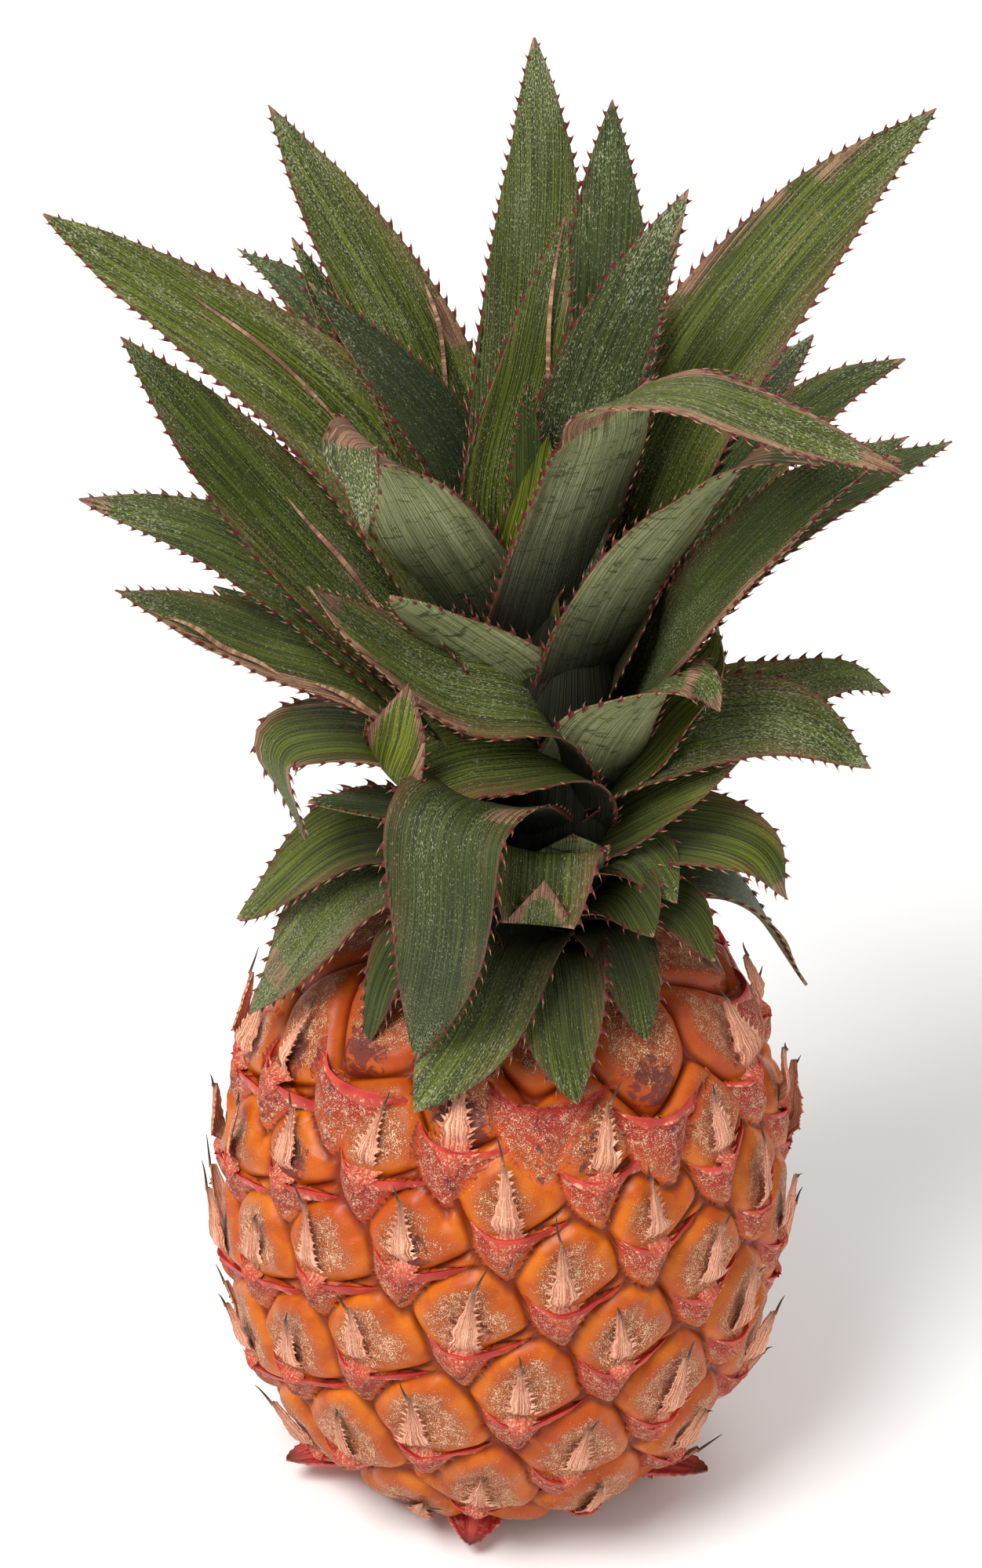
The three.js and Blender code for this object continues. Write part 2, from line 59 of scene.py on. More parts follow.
camera = bpy.data.objects.new("camera", bpy.data.cameras.new("camera"))
bpy.context.scene.collection.objects.link(camera)
sight = (AIM - EYE).normalized()
level = sight.cross(Vector((0, 0, 1))).normalized()
upright = level.cross(sight)
camera_up = upright * math.cos(ROLL) - level * math.sin(ROLL)
camera_right = sight.cross(camera_up)
axes = Matrix((camera_right, camera_up, -sight)).transposed()
camera.matrix_world = Matrix.Translation(EYE) @ axes.to_4x4()
camera.data.lens = LENS
camera.data.clip_start = 0.05
bpy.context.scene.camera = camera
print("camera stands", round((AIM - EYE).length, 3), "m away")

# %% [markdown]
# ## Light
# Large soft lamps and a white surrounding give the look of a packshot: no hard shadows, only a soft
# dark patch where the fruit stands. The main lamp is high on the left, a weaker one fills from the
# right, a third one behind lights the edges of the leaves, and the world itself gives an even
# white. The standard view keeps white white.

# %% Light
LAMPS = {  # place, size and power
    "key": ((-0.45, -0.5, 1.0), 0.5, 15.0),
    "fill": ((0.75, -0.55, 0.45), 0.8, 1.6),
    "back": ((0.1, 0.8, 0.75), 0.7, 4.0),
}
LAMP_AIM = Vector((0, 0, 0.1))
WORLD_LIGHT = 0.45

bpy.context.scene.view_settings.view_transform = "Standard"
world = bpy.data.worlds.new("studio")
bpy.context.scene.world = world
world.use_nodes = True
world.node_tree.nodes["Background"].inputs["Color"].default_value = (1, 1, 1, 1)
world.node_tree.nodes["Background"].inputs["Strength"].default_value = WORLD_LIGHT
for name, (place, size, power) in LAMPS.items():
    data = bpy.data.lights.new(name, "AREA")
    data.size = size
    data.energy = power
    lamp = bpy.data.objects.new(name, data)
    lamp.location = place
    lamp.rotation_euler = (LAMP_AIM - Vector(place)).to_track_quat("-Z", "Y").to_euler()
    bpy.context.scene.collection.objects.link(lamp)
print("lamps:", ", ".join(LAMPS))

# %% [markdown]
# ## Colours and nodes
# A picture's colour numbers are bent for the screen, while the renderer works with straight light.
# `paint` turns one into the other. `node` adds a shader node, and sets or links its inputs in one
# go, so a material reads like a recipe. One could place the same nodes by hand in the editor.

# %% Helpers for colours and nodes
def straight(share):
    """One bent colour number from 0 to 1, made straight."""
    return share / 12.92 if share <= 0.04045 else ((share + 0.055) / 1.055) ** 2.4


def paint(red, green, blue):
    """A picture's colour, 0 to 255, as the renderer's straight light."""
    return (straight(red / 255), straight(green / 255), straight(blue / 255), 1.0)


def feed(tree, placed, inputs):
    """Sets each input of a node to a constant, or links it to another node's output."""
    for key, value in inputs.items():
        if isinstance(value, bpy.types.NodeSocket):
            tree.links.new(value, placed.inputs[key])
        else:
            placed.inputs[key].default_value = value


def node(tree, kind, inputs, **settings):
    """Adds a shader node of a kind to a node tree."""
    made = tree.nodes.new("ShaderNode" + kind)
    for key, value in settings.items():
        setattr(made, key, value)
    feed(tree, made, inputs)
    return made


def mark(tree, name):
    """A number painted on the mesh."""
    return node(tree, "Attribute", {}, attribute_name=name).outputs["Fac"]


def spot_on(tree):
    """Where a point lies on its piece, in metres."""
    return node(tree, "TexCoord", {}).outputs["Object"]


def cloud(tree, spot, scale, detail):
    """A soft noise from 0 to 1 that changes over the surface."""
    return node(tree, "TexNoise", {"Vector": spot, "Scale": scale, "Detail": detail}).outputs["Fac"]


def sums(tree, operation, *numbers):
    """One sum, product or the like; MULTIPLY_ADD takes three numbers, ABSOLUTE one."""
    return node(tree, "Math", dict(enumerate(numbers)), operation=operation).outputs[0]


def fade(tree, value, low, high, to_low=0.0, to_high=1.0):
    """Turns low..high into to_low..to_high, smoothly and no further."""
    inputs = {"Value": value, "From Min": low, "From Max": high, "To Min": to_low, "To Max": to_high}
    return node(tree, "MapRange", inputs, interpolation_type="SMOOTHSTEP").outputs["Result"]


def blend(tree, share, below, above):
    """Lays one colour over another."""
    return node(tree, "Mix", {0: share, 6: below, 7: above}, data_type="RGBA").outputs[2]


def tint(tree, mask, strength, below, above):
    """Lays one colour over another through a mask, no stronger than the given strength."""
    return blend(tree, sums(tree, "MULTIPLY", mask, strength), below, above)


print("white paper is", paint(255, 255, 255)[:3])

# %% [markdown]
# ## Groups and materials
# A node group is a small recipe with named inputs and outputs, which any material can use with its
# own values. The Principled shader stays in the material. A bump reads a height and tilts the
# light on the surface, which is right for crumbs and fibres that are too fine to model.

# %% Helpers for groups and materials
def new_group(name, inputs, outputs):
    """An empty node group with named sockets; returns it, what it is given and what it gives."""
    group = bpy.data.node_groups.new(name, "ShaderNodeTree")
    for socket, (kind, value) in inputs.items():
        made = group.interface.new_socket(socket, in_out="INPUT", socket_type="NodeSocket" + kind)
        if value is not None:
            made.default_value = value
    for socket, kind in outputs.items():
        group.interface.new_socket(socket, in_out="OUTPUT", socket_type="NodeSocket" + kind)
    start = group.nodes.new("NodeGroupInput")
    end = group.nodes.new("NodeGroupOutput")
    return group, start.outputs, end.inputs


def use(tree, group, **inputs):
    """Places a group in a material."""
    placed = tree.nodes.new("ShaderNodeGroup")
    placed.node_tree = group
    feed(tree, placed, inputs)
    return placed.outputs


def new_material(name, roughness):
    """A material with its node tree and its shader, which stays in the material itself."""
    material = bpy.data.materials.new(name)
    material.use_nodes = True
    shader = material.node_tree.nodes["Principled BSDF"]
    shader.inputs["Roughness"].default_value = roughness
    return material, material.node_tree, shader


def connect(tree, shader, colour, roughness=None, height=None, depth=0.0002):
    """Hands the finished colour, roughness and bump height to the shader; depth is in metres."""
    tree.links.new(colour, shader.inputs["Base Color"])
    if roughness is not None:
        tree.links.new(roughness, shader.inputs["Roughness"])
    if height is not None:
        bump = node(tree, "Bump", {"Height": height, "Distance": depth, "Strength": 1.0})
        tree.links.new(bump.outputs["Normal"], shader.inputs["Normal"])


print("bump depth when none is given:", connect.__defaults__[-1] * 1000, "mm")

# %% [markdown]
# ## The floor
# The fruit stands on a wide white floor, so large that its edges are never seen. One flat square is
# enough for that. Its paint is a warm white that varies by a trace, as a real sheet of card does.

# %% Floor
FLOOR_SIDE = 6.0
floor_mesh = bpy.data.meshes.new("floor")
corners = [(x * FLOOR_SIDE / 2, y * FLOOR_SIDE / 2, 0) for x, y in ((-1, -1), (1, -1), (1, 1), (-1, 1))]
floor_mesh.from_pydata(corners, [], [(0, 1, 2, 3)])
floor = bpy.data.objects.new("floor", floor_mesh)
bpy.context.scene.collection.objects.link(floor)
floor_paint, tree, shader = new_material("white_sweep", 0.9)
grain = node(tree, "TexNoise", {"Scale": 40.0, "Detail": 3.0}).outputs["Fac"]
connect(tree, shader, blend(tree, fade(tree, grain, 0.3, 0.7), paint(243, 242, 240), paint(246, 246, 245)))
floor_mesh.materials.append(floor_paint)
print("floor side:", FLOOR_SIDE, "m")

# %% [markdown]
# ## Shared effect: mealy specks
# Skin, bracts and leaves all carry fine pale crumbs, so these are a node group. A fine noise is cut
# off at a level, and what is above it becomes a crumb. More cover lowers the level. A wide noise
# raises and lowers it from place to place, so the crumbs gather in clumps.

# %% Node group: mealy specks
mealy, given, result = new_group(
    "mealy_specks",
    {
        "Vector": ("Vector", None),
        "Scale": ("Float", 1800.0),
        "Cover": ("Float", 0.5),
        "Clumps": ("Float", 0.5),
    },
    {"Mask": "Float"},
)
spot, size = given["Vector"], given["Scale"]
fine = node(mealy, "TexNoise", {"Vector": spot, "Scale": size, "Detail": 2.5, "Roughness": 0.65})
wide = node(mealy, "TexNoise", {"Vector": spot, "Scale": sums(mealy, "MULTIPLY", size, 0.17)})
clumps = sums(mealy, "MULTIPLY", sums(mealy, "SUBTRACT", wide.outputs["Fac"], 0.5), given["Clumps"])
heap = sums(mealy, "ADD", clumps, fine.outputs["Fac"])
limit = sums(mealy, "MULTIPLY_ADD", given["Cover"], -0.55, 0.8)
crumbs = fade(mealy, sums(mealy, "SUBTRACT", heap, limit), -0.03, 0.09)
mealy.links.new(crumbs, result["Mask"])
print(mealy.name, "has", len(mealy.nodes), "nodes")

# %% [markdown]
# ## Shared effect: blotches
# Dried flowers, scars and rubbed spots are irregular stains with ragged outlines. They come from a
# rougher, slightly distorted noise, cut off in the same way.

# %% Node group: blotches
blotches, given, result = new_group(
    "blotches",
    {"Vector": ("Vector", None), "Scale": ("Float", 300.0), "Cover": ("Float", 0.3)},
    {"Mask": "Float"},
)
rough = {"Detail": 5.0, "Roughness": 0.7, "Distortion": 0.6}
stain = node(blotches, "TexNoise", {"Vector": given["Vector"], "Scale": given["Scale"], **rough})
limit = sums(blotches, "MULTIPLY_ADD", given["Cover"], -0.5, 0.75)
above_limit = sums(blotches, "SUBTRACT", stain.outputs["Fac"], limit)
blotches.links.new(fade(blotches, above_limit, -0.03, 0.08), result["Mask"])
print(blotches.name, "has", len(blotches.nodes), "nodes")

# %% [markdown]
# ## Shared effect: fibres
# Leaves and papery bracts are built of long parallel strands. A noise makes them if it is read
# slowly along the blade and quickly across it. The seed moves the reading to another part of the
# noise, so that no two blades have the same strands.

# %% Node group: fibres
fibres, given, result = new_group(
    "fibres",
    {"Along": ("Float", 0.0), "Across": ("Float", 0.0), "Seed": ("Float", 0.0), "Pitch": ("Float", 0.5)},
    {"Line": "Float"},
)
strand = sums(fibres, "DIVIDE", given["Across"], given["Pitch"])
stretched = sums(fibres, "MULTIPLY", given["Along"], 0.045)
apart = sums(fibres, "MULTIPLY", given["Seed"], 37.0)
squeezed = node(fibres, "CombineXYZ", {"X": strand, "Y": stretched, "Z": apart}).outputs[0]
fibres.links.new(cloud(fibres, squeezed, 1.0, 2.0), result["Line"])
print("shared effects:", [g.name for g in (mealy, blotches, fibres)])

# %% [markdown]
# ## Making meshes
# Nearly every piece here is a row of rings joined into a skin: a leaf, a spine, a hair, a stem.
# A few small functions make the curves and the faces of such skins. Lengths are in millimetres
# until the very last step.

# %% Helpers for curves and faces
def band(ring, m):
    """Quads between one ring of m points and the next."""
    a, b = ring * m, (ring + 1) * m
    return [(a + j, a + (j + 1) % m, b + (j + 1) % m, b + j) for j in range(m)]


def fan(ring, m, tip):
    """Triangles between a ring of m points and one point."""
    return [(ring * m + j, ring * m + (j + 1) % m, tip) for j in range(m)]


def smooth(x):
    """0 below 0, 1 above 1, and an easy slope between them."""
    x = np.clip(x, 0, 1)
    return x * x * (3 - 2 * x)


def spline(path, count):
    """A smooth curve through the given points, evenly spaced between one point and the next."""
    p = np.array([list(q) + [0] * (3 - len(q)) for q in path], float)
    p = np.vstack([2 * p[0] - p[1], p, 2 * p[-1] - p[-2]])
    t = np.linspace(0, len(p) - 3, count)
    i = np.minimum(t.astype(int), len(p) - 4)
    u = (t - i)[:, None]
    a, b, c, d = p[i], p[i + 1], p[i + 2], p[i + 3]
    bent = (2 * a - 5 * b + 4 * c - d) * u**2 + (3 * b - a - 3 * c + d) * u**3
    return 0.5 * (2 * b + (c - a) * u + bent)


def unit(v):
    """Directions of length 1."""
    return v / np.maximum(np.linalg.norm(v, axis=-1, keepdims=True), 1e-9)


print("halfway from 0 to 1,", "smooth gives", smooth(0.5), "and at a quarter", smooth(0.25))

# %% [markdown]
# ## One piece from many skins
# `Shape` gathers skins with the numbers painted on their points, which the materials read, and
# hands them to Blender as one piece. It also tells the frame two things: which body the piece
# rides on, and which solids it takes the place of.

# %% Helper for pieces
class Shape:
    """Skins that end up in one piece: their points, their faces and the numbers on their points."""

    def __init__(self):
        self.points, self.faces, self.marks, self.count = [], [], {}, 0

    def add(self, points, faces, **marks):
        points = np.asarray(points, float).reshape(-1, 3)
        self.faces += [tuple(i + self.count for i in face) for face in faces]
        for key in sorted(set(self.marks) | set(marks)):
            column = self.marks.setdefault(key, [np.zeros(self.count)] if self.count else [])
            column.append(np.broadcast_to(np.asarray(marks.get(key, 0.0), float), points.shape[:1]))
        self.points.append(points)
        self.count += len(points)

    def loft(self, rings, tip=None, **marks):
        """Joins closed rings of points; the last ring is closed flat, or by a tip."""
        rings = np.asarray(rings, float)
        n, m = rings.shape[:2]
        faces = [face for ring in range(n - 1) for face in band(ring, m)]
        faces.append(tuple(range(m))[::-1])
        points = rings.reshape(-1, 3)
        marks = {k: np.broadcast_to(np.asarray(v, float), (n, m)).reshape(-1) for k, v in marks.items()}
        if tip is None:
            faces.append(tuple(range((n - 1) * m, n * m)))
        else:
            points = np.vstack([points, tip])
            marks = {k: np.append(v, v[-1]) for k, v in marks.items()}
            faces += fan(n - 1, m, n * m)
        self.add(points, faces, **marks)

    def piece(self, name, material, replaced=(), crease=50):
        """Makes the Blender object; edges sharper than the crease angle stay sharp."""
        mesh = bpy.data.meshes.new(name)
        points = np.vstack(self.points) * 0.001
        mesh.from_pydata(points.tolist(), [], self.faces)
        for key, columns in self.marks.items():
            layer = mesh.attributes.new(key, "FLOAT", "POINT")
            layer.data.foreach_set("value", np.concatenate(columns).astype(np.float32))
        mesh.shade_smooth()
        mesh.set_sharp_from_angle(angle=math.radians(crease))
        mesh.materials.append(material)
        made = bpy.data.objects.new(name, mesh)
        bpy.context.scene.collection.objects.link(made)
        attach(made, "root")
        if replaced:
            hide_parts(*replaced)
        return made


print("a new shape has", Shape().count, "points")

# %% [markdown]
# ## The fruit's form
# A pineapple is a cluster of flowers grown together. They follow one another round the stem at
# 137.5 degrees, the golden angle, which gives the two sets of crossing spirals. The body is a
# rounded form turned about the axis. `skin_point` gives any place on it from an angle, a distance
# along the unrolled skin and a height above it. The unrolling keeps angles true, as a sea chart
# does, and `steps_t` is its table of distances.

# %% Body
BODY_RADIUS, BODY_WAIST, BODY_TOP = 39.6, 50.0, 95.5
BODY_LOWER, BODY_UPPER, BODY_POWER = 53.0, 47.0, 2.33


def body_radius(z):
    """The body's radius at a height: rounder than an ellipse, and longer below its waist."""
    reach = np.where(z < BODY_WAIST, BODY_LOWER, BODY_UPPER)
    t = np.clip(np.abs(z - BODY_WAIST) / reach, 0, 1)
    return BODY_RADIUS * (1 - t**BODY_POWER) ** (1 / BODY_POWER)


steps_z = np.linspace(0, BODY_TOP, 1201)
steps_r = body_radius(steps_z)
steps_long = np.hypot(np.diff(steps_z), np.diff(steps_r))
steps_t = np.append(0, np.cumsum(steps_long / (steps_r[1:] + steps_r[:-1]) * 2))
UNROLL_TOP = steps_t[-1]


def skin_point(angle, t, height):
    """A point at a height above the skin, at an angle round the axis and unrolled distance t."""
    z = np.interp(t, steps_t, steps_z)
    slope = (body_radius(z + 0.1) - body_radius(z - 0.1)) / 0.2
    tilt = np.hypot(1, slope)
    r = body_radius(z) + height / tilt
    return np.stack([r * np.cos(angle), r * np.sin(angle), np.maximum(z - height * slope / tilt, 0)], -1)


print("the body is", 2 * BODY_RADIUS, "mm across and", BODY_TOP, "mm high")

# %% [markdown]
# ## Where the eyes sit
# Each next eye is turned on by the golden angle and set a little higher. On the unrolled skin an
# eye's outline holds the spots that are nearer to it than to any other eye. We start with a wide
# rectangle and cut it with one straight line for every other eye.

# %% Eye sites and outlines
GOLDEN_ANGLE = math.radians(137.508)
EYE_FIRST, EYE_LAST, EYE_COUNT = 12, 103, 103
EYE_LOW, EYE_SPAN, EYE_CROWDING, EYE_START = -13.4, 103.7, 0.31, math.radians(155.5)
WIDER_THAN_ANY_EYE = 2.0  # radians to each side


def cut(polygon, nx, ny, limit):
    """The part of a polygon where x * nx + y * ny <= limit."""
    kept = []
    for (px, py), (qx, qy) in zip(polygon, polygon[1:] + polygon[:1]):
        dp, dq = px * nx + py * ny - limit, qx * nx + qy * ny - limit
        if dp <= 0:
            kept.append((px, py))
        if dp * dq < 0:
            s = dp / (dp - dq)
            kept.append((px + s * (qx - px), py + s * (qy - py)))
    return kept


sites = []
for k in range(EYE_FIRST, EYE_LAST + 1):
    u = k / EYE_COUNT
    z = EYE_LOW + EYE_SPAN * (u + EYE_CROWDING * u * (1 - u))
    sites.append((EYE_START + k * GOLDEN_ANGLE, np.interp(z, steps_z, steps_t), z))


def eye_outline(site):
    """The part of the unrolled skin that is nearer to this site than to any other."""
    low, high, side = -site[1], UNROLL_TOP - site[1], WIDER_THAN_ANY_EYE
    cell = [(-side, low), (side, low), (side, high), (-side, high)]
    for other in sites:
        if other is not site:
            turn = other[0] - site[0]
            dx = turn - 2 * math.pi * round(turn / (2 * math.pi))
            dy = other[1] - site[1]
            cell = cut(cell, dx, dy, (dx * dx + dy * dy) / 2)
    return cell


outlines = [eye_outline(site) for site in sites]
print("eyes:", len(sites), "corners of the first ones:", [len(c) for c in outlines[:6]])

# %% [markdown]
# ## The skin
# Each eye is a smooth cushion. Below it hangs its bract: a thick pink scale, pointed at the bottom,
# that fills the gap between the eyes underneath and overlaps them. Its upper edge is free. So the
# height of any spot of skin comes from two formulas: how far it is inside its eye's outline, and
# how far it is inside a bract. An eye's own directions are x, round the fruit, and y, up along it.

# %% Outline of a bract
LIP_LINE = [(-5.7, 0.7), (-4.6, -3.3), (-1.8, -5.3), (1.5, -5.6), (4.6, -4.9), (7.5, -4.2)]
BRACT_LEFT = [
    (0.2, -12.2), (-1.2, -10.9), (-2.8, -9.4), (-3.9, -7.4),
    (-4.4, -5.0), (-4.9, -2.6), (-5.7, 0.7), (-6.3, 2.2),
]
BRACT_RIGHT = [(0.2, -12.2), (0.9, -11.0), (1.9, -9.0), (3.0, -7.2), (4.6, -5.8), (7.6, -4.2), (9.4, -3.7)]


def soft_min(values, softness):
    """The smallest of the values, rounded off where two of them are nearly the same."""
    return -softness * np.log(np.exp(-np.asarray(values) / softness).sum(-1))


def shoulder(share, power=2.3):
    """Rises steeply from 0 and levels off at 1."""
    return 1 - (1 - np.clip(share, 0, 1)) ** power


lip_x, lip_y = spline(LIP_LINE, 120)[:, :2].T
print("a usual lip is", round(lip_x[-1] - lip_x[0], 1), "mm wide")

# %% [markdown]
# ## One eye
# An eye knows its outline, how large it is beside a usual eye, and how its own x and y turn into a
# place on the fruit. Its two heights, of the cushion and of the bract, are formulas. They can be
# asked for at any spot, so it doesn't matter yet how finely the mesh will be cut.

# %% One eye
USUAL_REACH, LARGEST_SCALE = 8.4, 1.36
CUSHION_FOOT, CUSHION_HEIGHT, CUSHION_EDGE, CUSHION_SOFT = 0.6, 2.6, 2.6, 0.75
DIMPLE, SWELL, SMALL_SWELL = 0.6, 0.2, 0.07
BRACT_FOOT, BRACT_RISE, BRACT_EDGE, BRACT_SOFT = 0.85, 0.5, 3.0, 0.3
BRACT_KEEL, BRACT_CREASE, BRACT_LEAN, LEAN_OVER = 0.28, 0.12, 0.5, 11
SLOPE_STEP, END_FADE = 0.4, 7


class Eye:
    """One eye: where it sits, its outline, and the height of its surface at any spot."""

    def __init__(self, site, outline, number):
        self.angle, self.t, self.z = site
        self.radius = float(body_radius(np.array(self.z)))
        self.number = number
        self.corners = np.array(outline)
        flat = self.corners * self.radius
        self.scale = min(np.hypot(*flat.T).mean() / USUAL_REACH, LARGEST_SCALE)
        self.size = 0.6 + 0.4 * self.scale
        edge = np.roll(flat, -1, axis=0) - flat
        normal = unit(np.stack([edge[:, 1], -edge[:, 0]], -1))
        self.normals, self.limits = normal, (normal * flat).sum(1)
        self.lean = BRACT_LEAN * math.sin(2.1 * number)

    def inset(self, x, y):
        """Distance in from the outline, rounded off in its corners."""
        depth = self.limits - (x[..., None] * self.normals[:, 0] + y[..., None] * self.normals[:, 1])
        return np.maximum(0, soft_min(depth, CUSHION_SOFT))

    def lip(self, x):
        """How far up the bract's free edge lies: steep on the left, nearly level on the right."""
        return np.interp(x / self.scale, lip_x, lip_y) * self.scale

    def bract(self, x, y):
        """Distance in from the bract's two lower edges, which wind round the eyes below."""
        px, py = x / self.scale - self.lean * np.clip(-y / LEAN_OVER, 0, 1), y / self.scale
        within = [py - BRACT_LEFT[0][1] + BRACT_SOFT]
        for sign, side in ((1, BRACT_LEFT), (-1, BRACT_RIGHT)):
            at, height = np.array(side).T
            above, below = (np.interp(py + step, height, at) for step in (SLOPE_STEP, -SLOPE_STEP))
            slope = (above - below) / (2 * SLOPE_STEP)
            within.append(sign * (px - np.interp(py, height, at)) / np.hypot(1, slope))
        return soft_min(np.stack(within, -1), BRACT_SOFT) * self.scale

    def fade(self, y):
        """The relief runs out to nothing at the foot and at the top of the fruit."""
        z = np.interp(self.t + y / self.radius, steps_t, steps_z)
        return np.clip(z / END_FADE, 0, 1) * np.clip((BODY_TOP - z) / END_FADE, 0, 1)

    def cushion(self, x, y, inset):
        """Height of the eye itself: a steep rounded rim, a slight dimple and a gentle swell."""
        depth = shoulder(inset / (CUSHION_EDGE * self.size))
        dimple = DIMPLE * np.exp(-((x / 1.5) ** 2 + (y + 0.4) ** 2) / (2.1 * self.scale) ** 2)
        phase = self.number * 1.7
        swell = SWELL * np.sin(0.8 * x + phase) * np.cos(0.7 * y - 2 * phase)
        swell += SMALL_SWELL * np.sin(2.3 * x - phase) * np.sin(2.1 * y + 3 * phase)
        rise = CUSHION_FOOT + (CUSHION_HEIGHT - CUSHION_FOOT) * depth
        return (rise - (dimple - swell) * np.clip(inset / 3, 0, 1)) * self.size

    def bract_height(self, x, y, inside):
        """Height of the bract: a scale with a keel down its middle and shallow creases."""
        crease = BRACT_CREASE * np.sin(1.9 * x + self.number) * np.sin(1.3 * y + 2 * self.number)
        keel = BRACT_KEEL * np.exp(-((x / 1.1) ** 2))
        top = CUSHION_HEIGHT + BRACT_RISE + keel + crease
        rise = shoulder(inside / (BRACT_EDGE * self.size), 1.6)
        return (BRACT_FOOT + (top - BRACT_FOOT) * rise) * self.size

    def place(self, x, y, height):
        """A point of the fruit, from a spot of the eye and a height above the skin."""
        return skin_point(self.angle + x / self.radius, self.t + y / self.radius, height)


eyes = [Eye(site, outline, k) for k, (site, outline) in enumerate(zip(sites, outlines))]
print("widest lip:", round(max(e.scale for e in eyes) * (lip_x[-1] - lip_x[0]), 1), "mm")

# %% [markdown]
# ## Where eyes meet
# A bract lies over the eyes below it, so the height of a spot depends on its neighbours too. Each
# eye keeps a list of the eyes around it. At every spot the bract that covers it furthest wins, and
# what isn't covered is cushion, which sinks towards each bract beside it.

# %% Relief with neighbours
NEIGHBOURHOOD, OWN_FIRST = 27, 0.3
GROOVE_SOFT, COVER_SOFT = 0.45, 0.5
CROWN_FROM, CROWN_OVER, CROWN_GAP = 72, 12, 7

for eye in eyes:
    turns = [(o.angle - eye.angle + math.pi) % (2 * math.pi) - math.pi for o in eyes]
    far = [math.hypot(turn, o.t - eye.t) * eye.radius for turn, o in zip(turns, eyes)]
    eye.near = [(o, turn) for o, turn, distance in zip(eyes, turns, far) if 0 < distance < NEIGHBOURHOOD]
    eye.gap = CROWN_GAP * smooth((eye.z - CROWN_FROM) / CROWN_OVER)


def spot_marks(eye, x, y, below):
    """Where a spot lies on an eye of the usual size, and which eye that is."""
    return dict(below_lip=below / eye.scale, side=x / eye.scale, up=y / eye.scale, owner=0 * x + eye.number)


def relief(eye, x, y):
    """Height of the skin at spots of one eye, and the numbers that the paint needs there."""
    inset = eye.inset(x, y)
    own = eye.bract(x, y)
    own_below = eye.lip(x) - y
    best = np.minimum(own, own_below + OWN_FIRST)
    marks = spot_marks(eye, x, y, own_below)
    height = np.where(own_below > -0.25, eye.bract_height(x, y, own), 0)
    covered = smooth(own_below / COVER_SOFT + 0.5) * smooth(own / COVER_SOFT)
    edge_in, gaps = own.copy(), [inset]
    for other, turn in eye.near:
        ratio = other.radius / eye.radius
        ox, oy = x * ratio - turn * other.radius, y * ratio - (other.t - eye.t) * other.radius
        inside, below = other.bract(ox, oy), other.lip(ox) - oy
        gaps.append(np.maximum(-inside, 0) + np.maximum(-below, 0) + eye.gap)
        here = (below > 0) & (inside > 0) & (np.minimum(inside, below) > best)
        best = np.where(here, np.minimum(inside, below), best)
        height = np.where(here, other.bract_height(ox, oy, inside), height)
        covered = np.where(here, smooth(inside / COVER_SOFT), covered)
        edge_in = np.where(here, inside, edge_in)
        new = spot_marks(other, ox, oy, below)
        marks = {key: np.where(here, new[key], value) for key, value in marks.items()}
    inset = np.maximum(0, soft_min(np.stack(gaps, -1), GROOVE_SOFT))
    top = eye.cushion(x, y, inset)
    level = top + (height - top) * covered
    marks["inset"] = np.where(covered > 0.5, np.maximum(2.5 * edge_in, 0), inset)
    marks["bract"] = covered
    return level * eye.fade(y), marks


print("neighbours of the first eyes:", [len(eye.near) for eye in eyes[:6]])

# %% [markdown]
# ## The skin's mesh
# One could sculpt the skin, or push a plain sphere out with a height picture. Here each eye gets
# its own small net of rings, which is its outline drawn smaller and smaller, closed with a fan in
# the middle. Neighbours have the same points along their common outline, so the skin has no gaps.

# %% Skin mesh
RINGS = [1, 0.965, 0.93, 0.89, 0.845, 0.795, 0.74, 0.68, 0.61, 0.53, 0.44, 0.34, 0.22, 0.09]
OUTLINE_STEP, LEAST_GIRTH, SKIN_SEED = 0.85, 12, 11


def eye_rim(eye):
    """The eye's outline in short equal steps, the same ones as on its neighbour's side."""
    rim = []
    for p, q in zip(eye.corners, np.roll(eye.corners, -1, axis=0)):
        girth = float(body_radius(np.interp(eye.t + (p[1] + q[1]) / 2, steps_t, steps_z)))
        parts = max(1, math.ceil(np.hypot(*(q - p)) * max(girth, LEAST_GIRTH) / OUTLINE_STEP - 1e-6))
        rim += [p + (q - p) * i / parts for i in range(parts)]
    return np.array(rim) * eye.radius


skin = Shape()
dryness = np.random.default_rng(SKIN_SEED).random((len(eyes), 2))[:, 1]
for eye in eyes:
    rim = eye_rim(eye)
    x, y = np.vstack([rim * reach for reach in RINGS] + [np.zeros((1, 2))]).T
    height, marks = relief(eye, x, y)
    owner = marks.pop("owner").astype(int)
    faces = [face for ring in range(len(RINGS) - 1) for face in band(ring, len(rim))]
    faces += fan(len(RINGS) - 1, len(rim), len(RINGS) * len(rim))
    skin.add(eye.place(x, y, height), faces, dryness=dryness[owner], **marks)
print("skin points:", skin.count)

# %% [markdown]
# ## Skin finish: the eyes
# An eye is amber and waxy on its rounded rim, and redder near the crown. Its middle is covered in
# fine pale crumbs over a browner ground, with dark red-brown stains where the flower dried up. The
# colours are laid one over another, each through a mask, as a painter would glaze them.

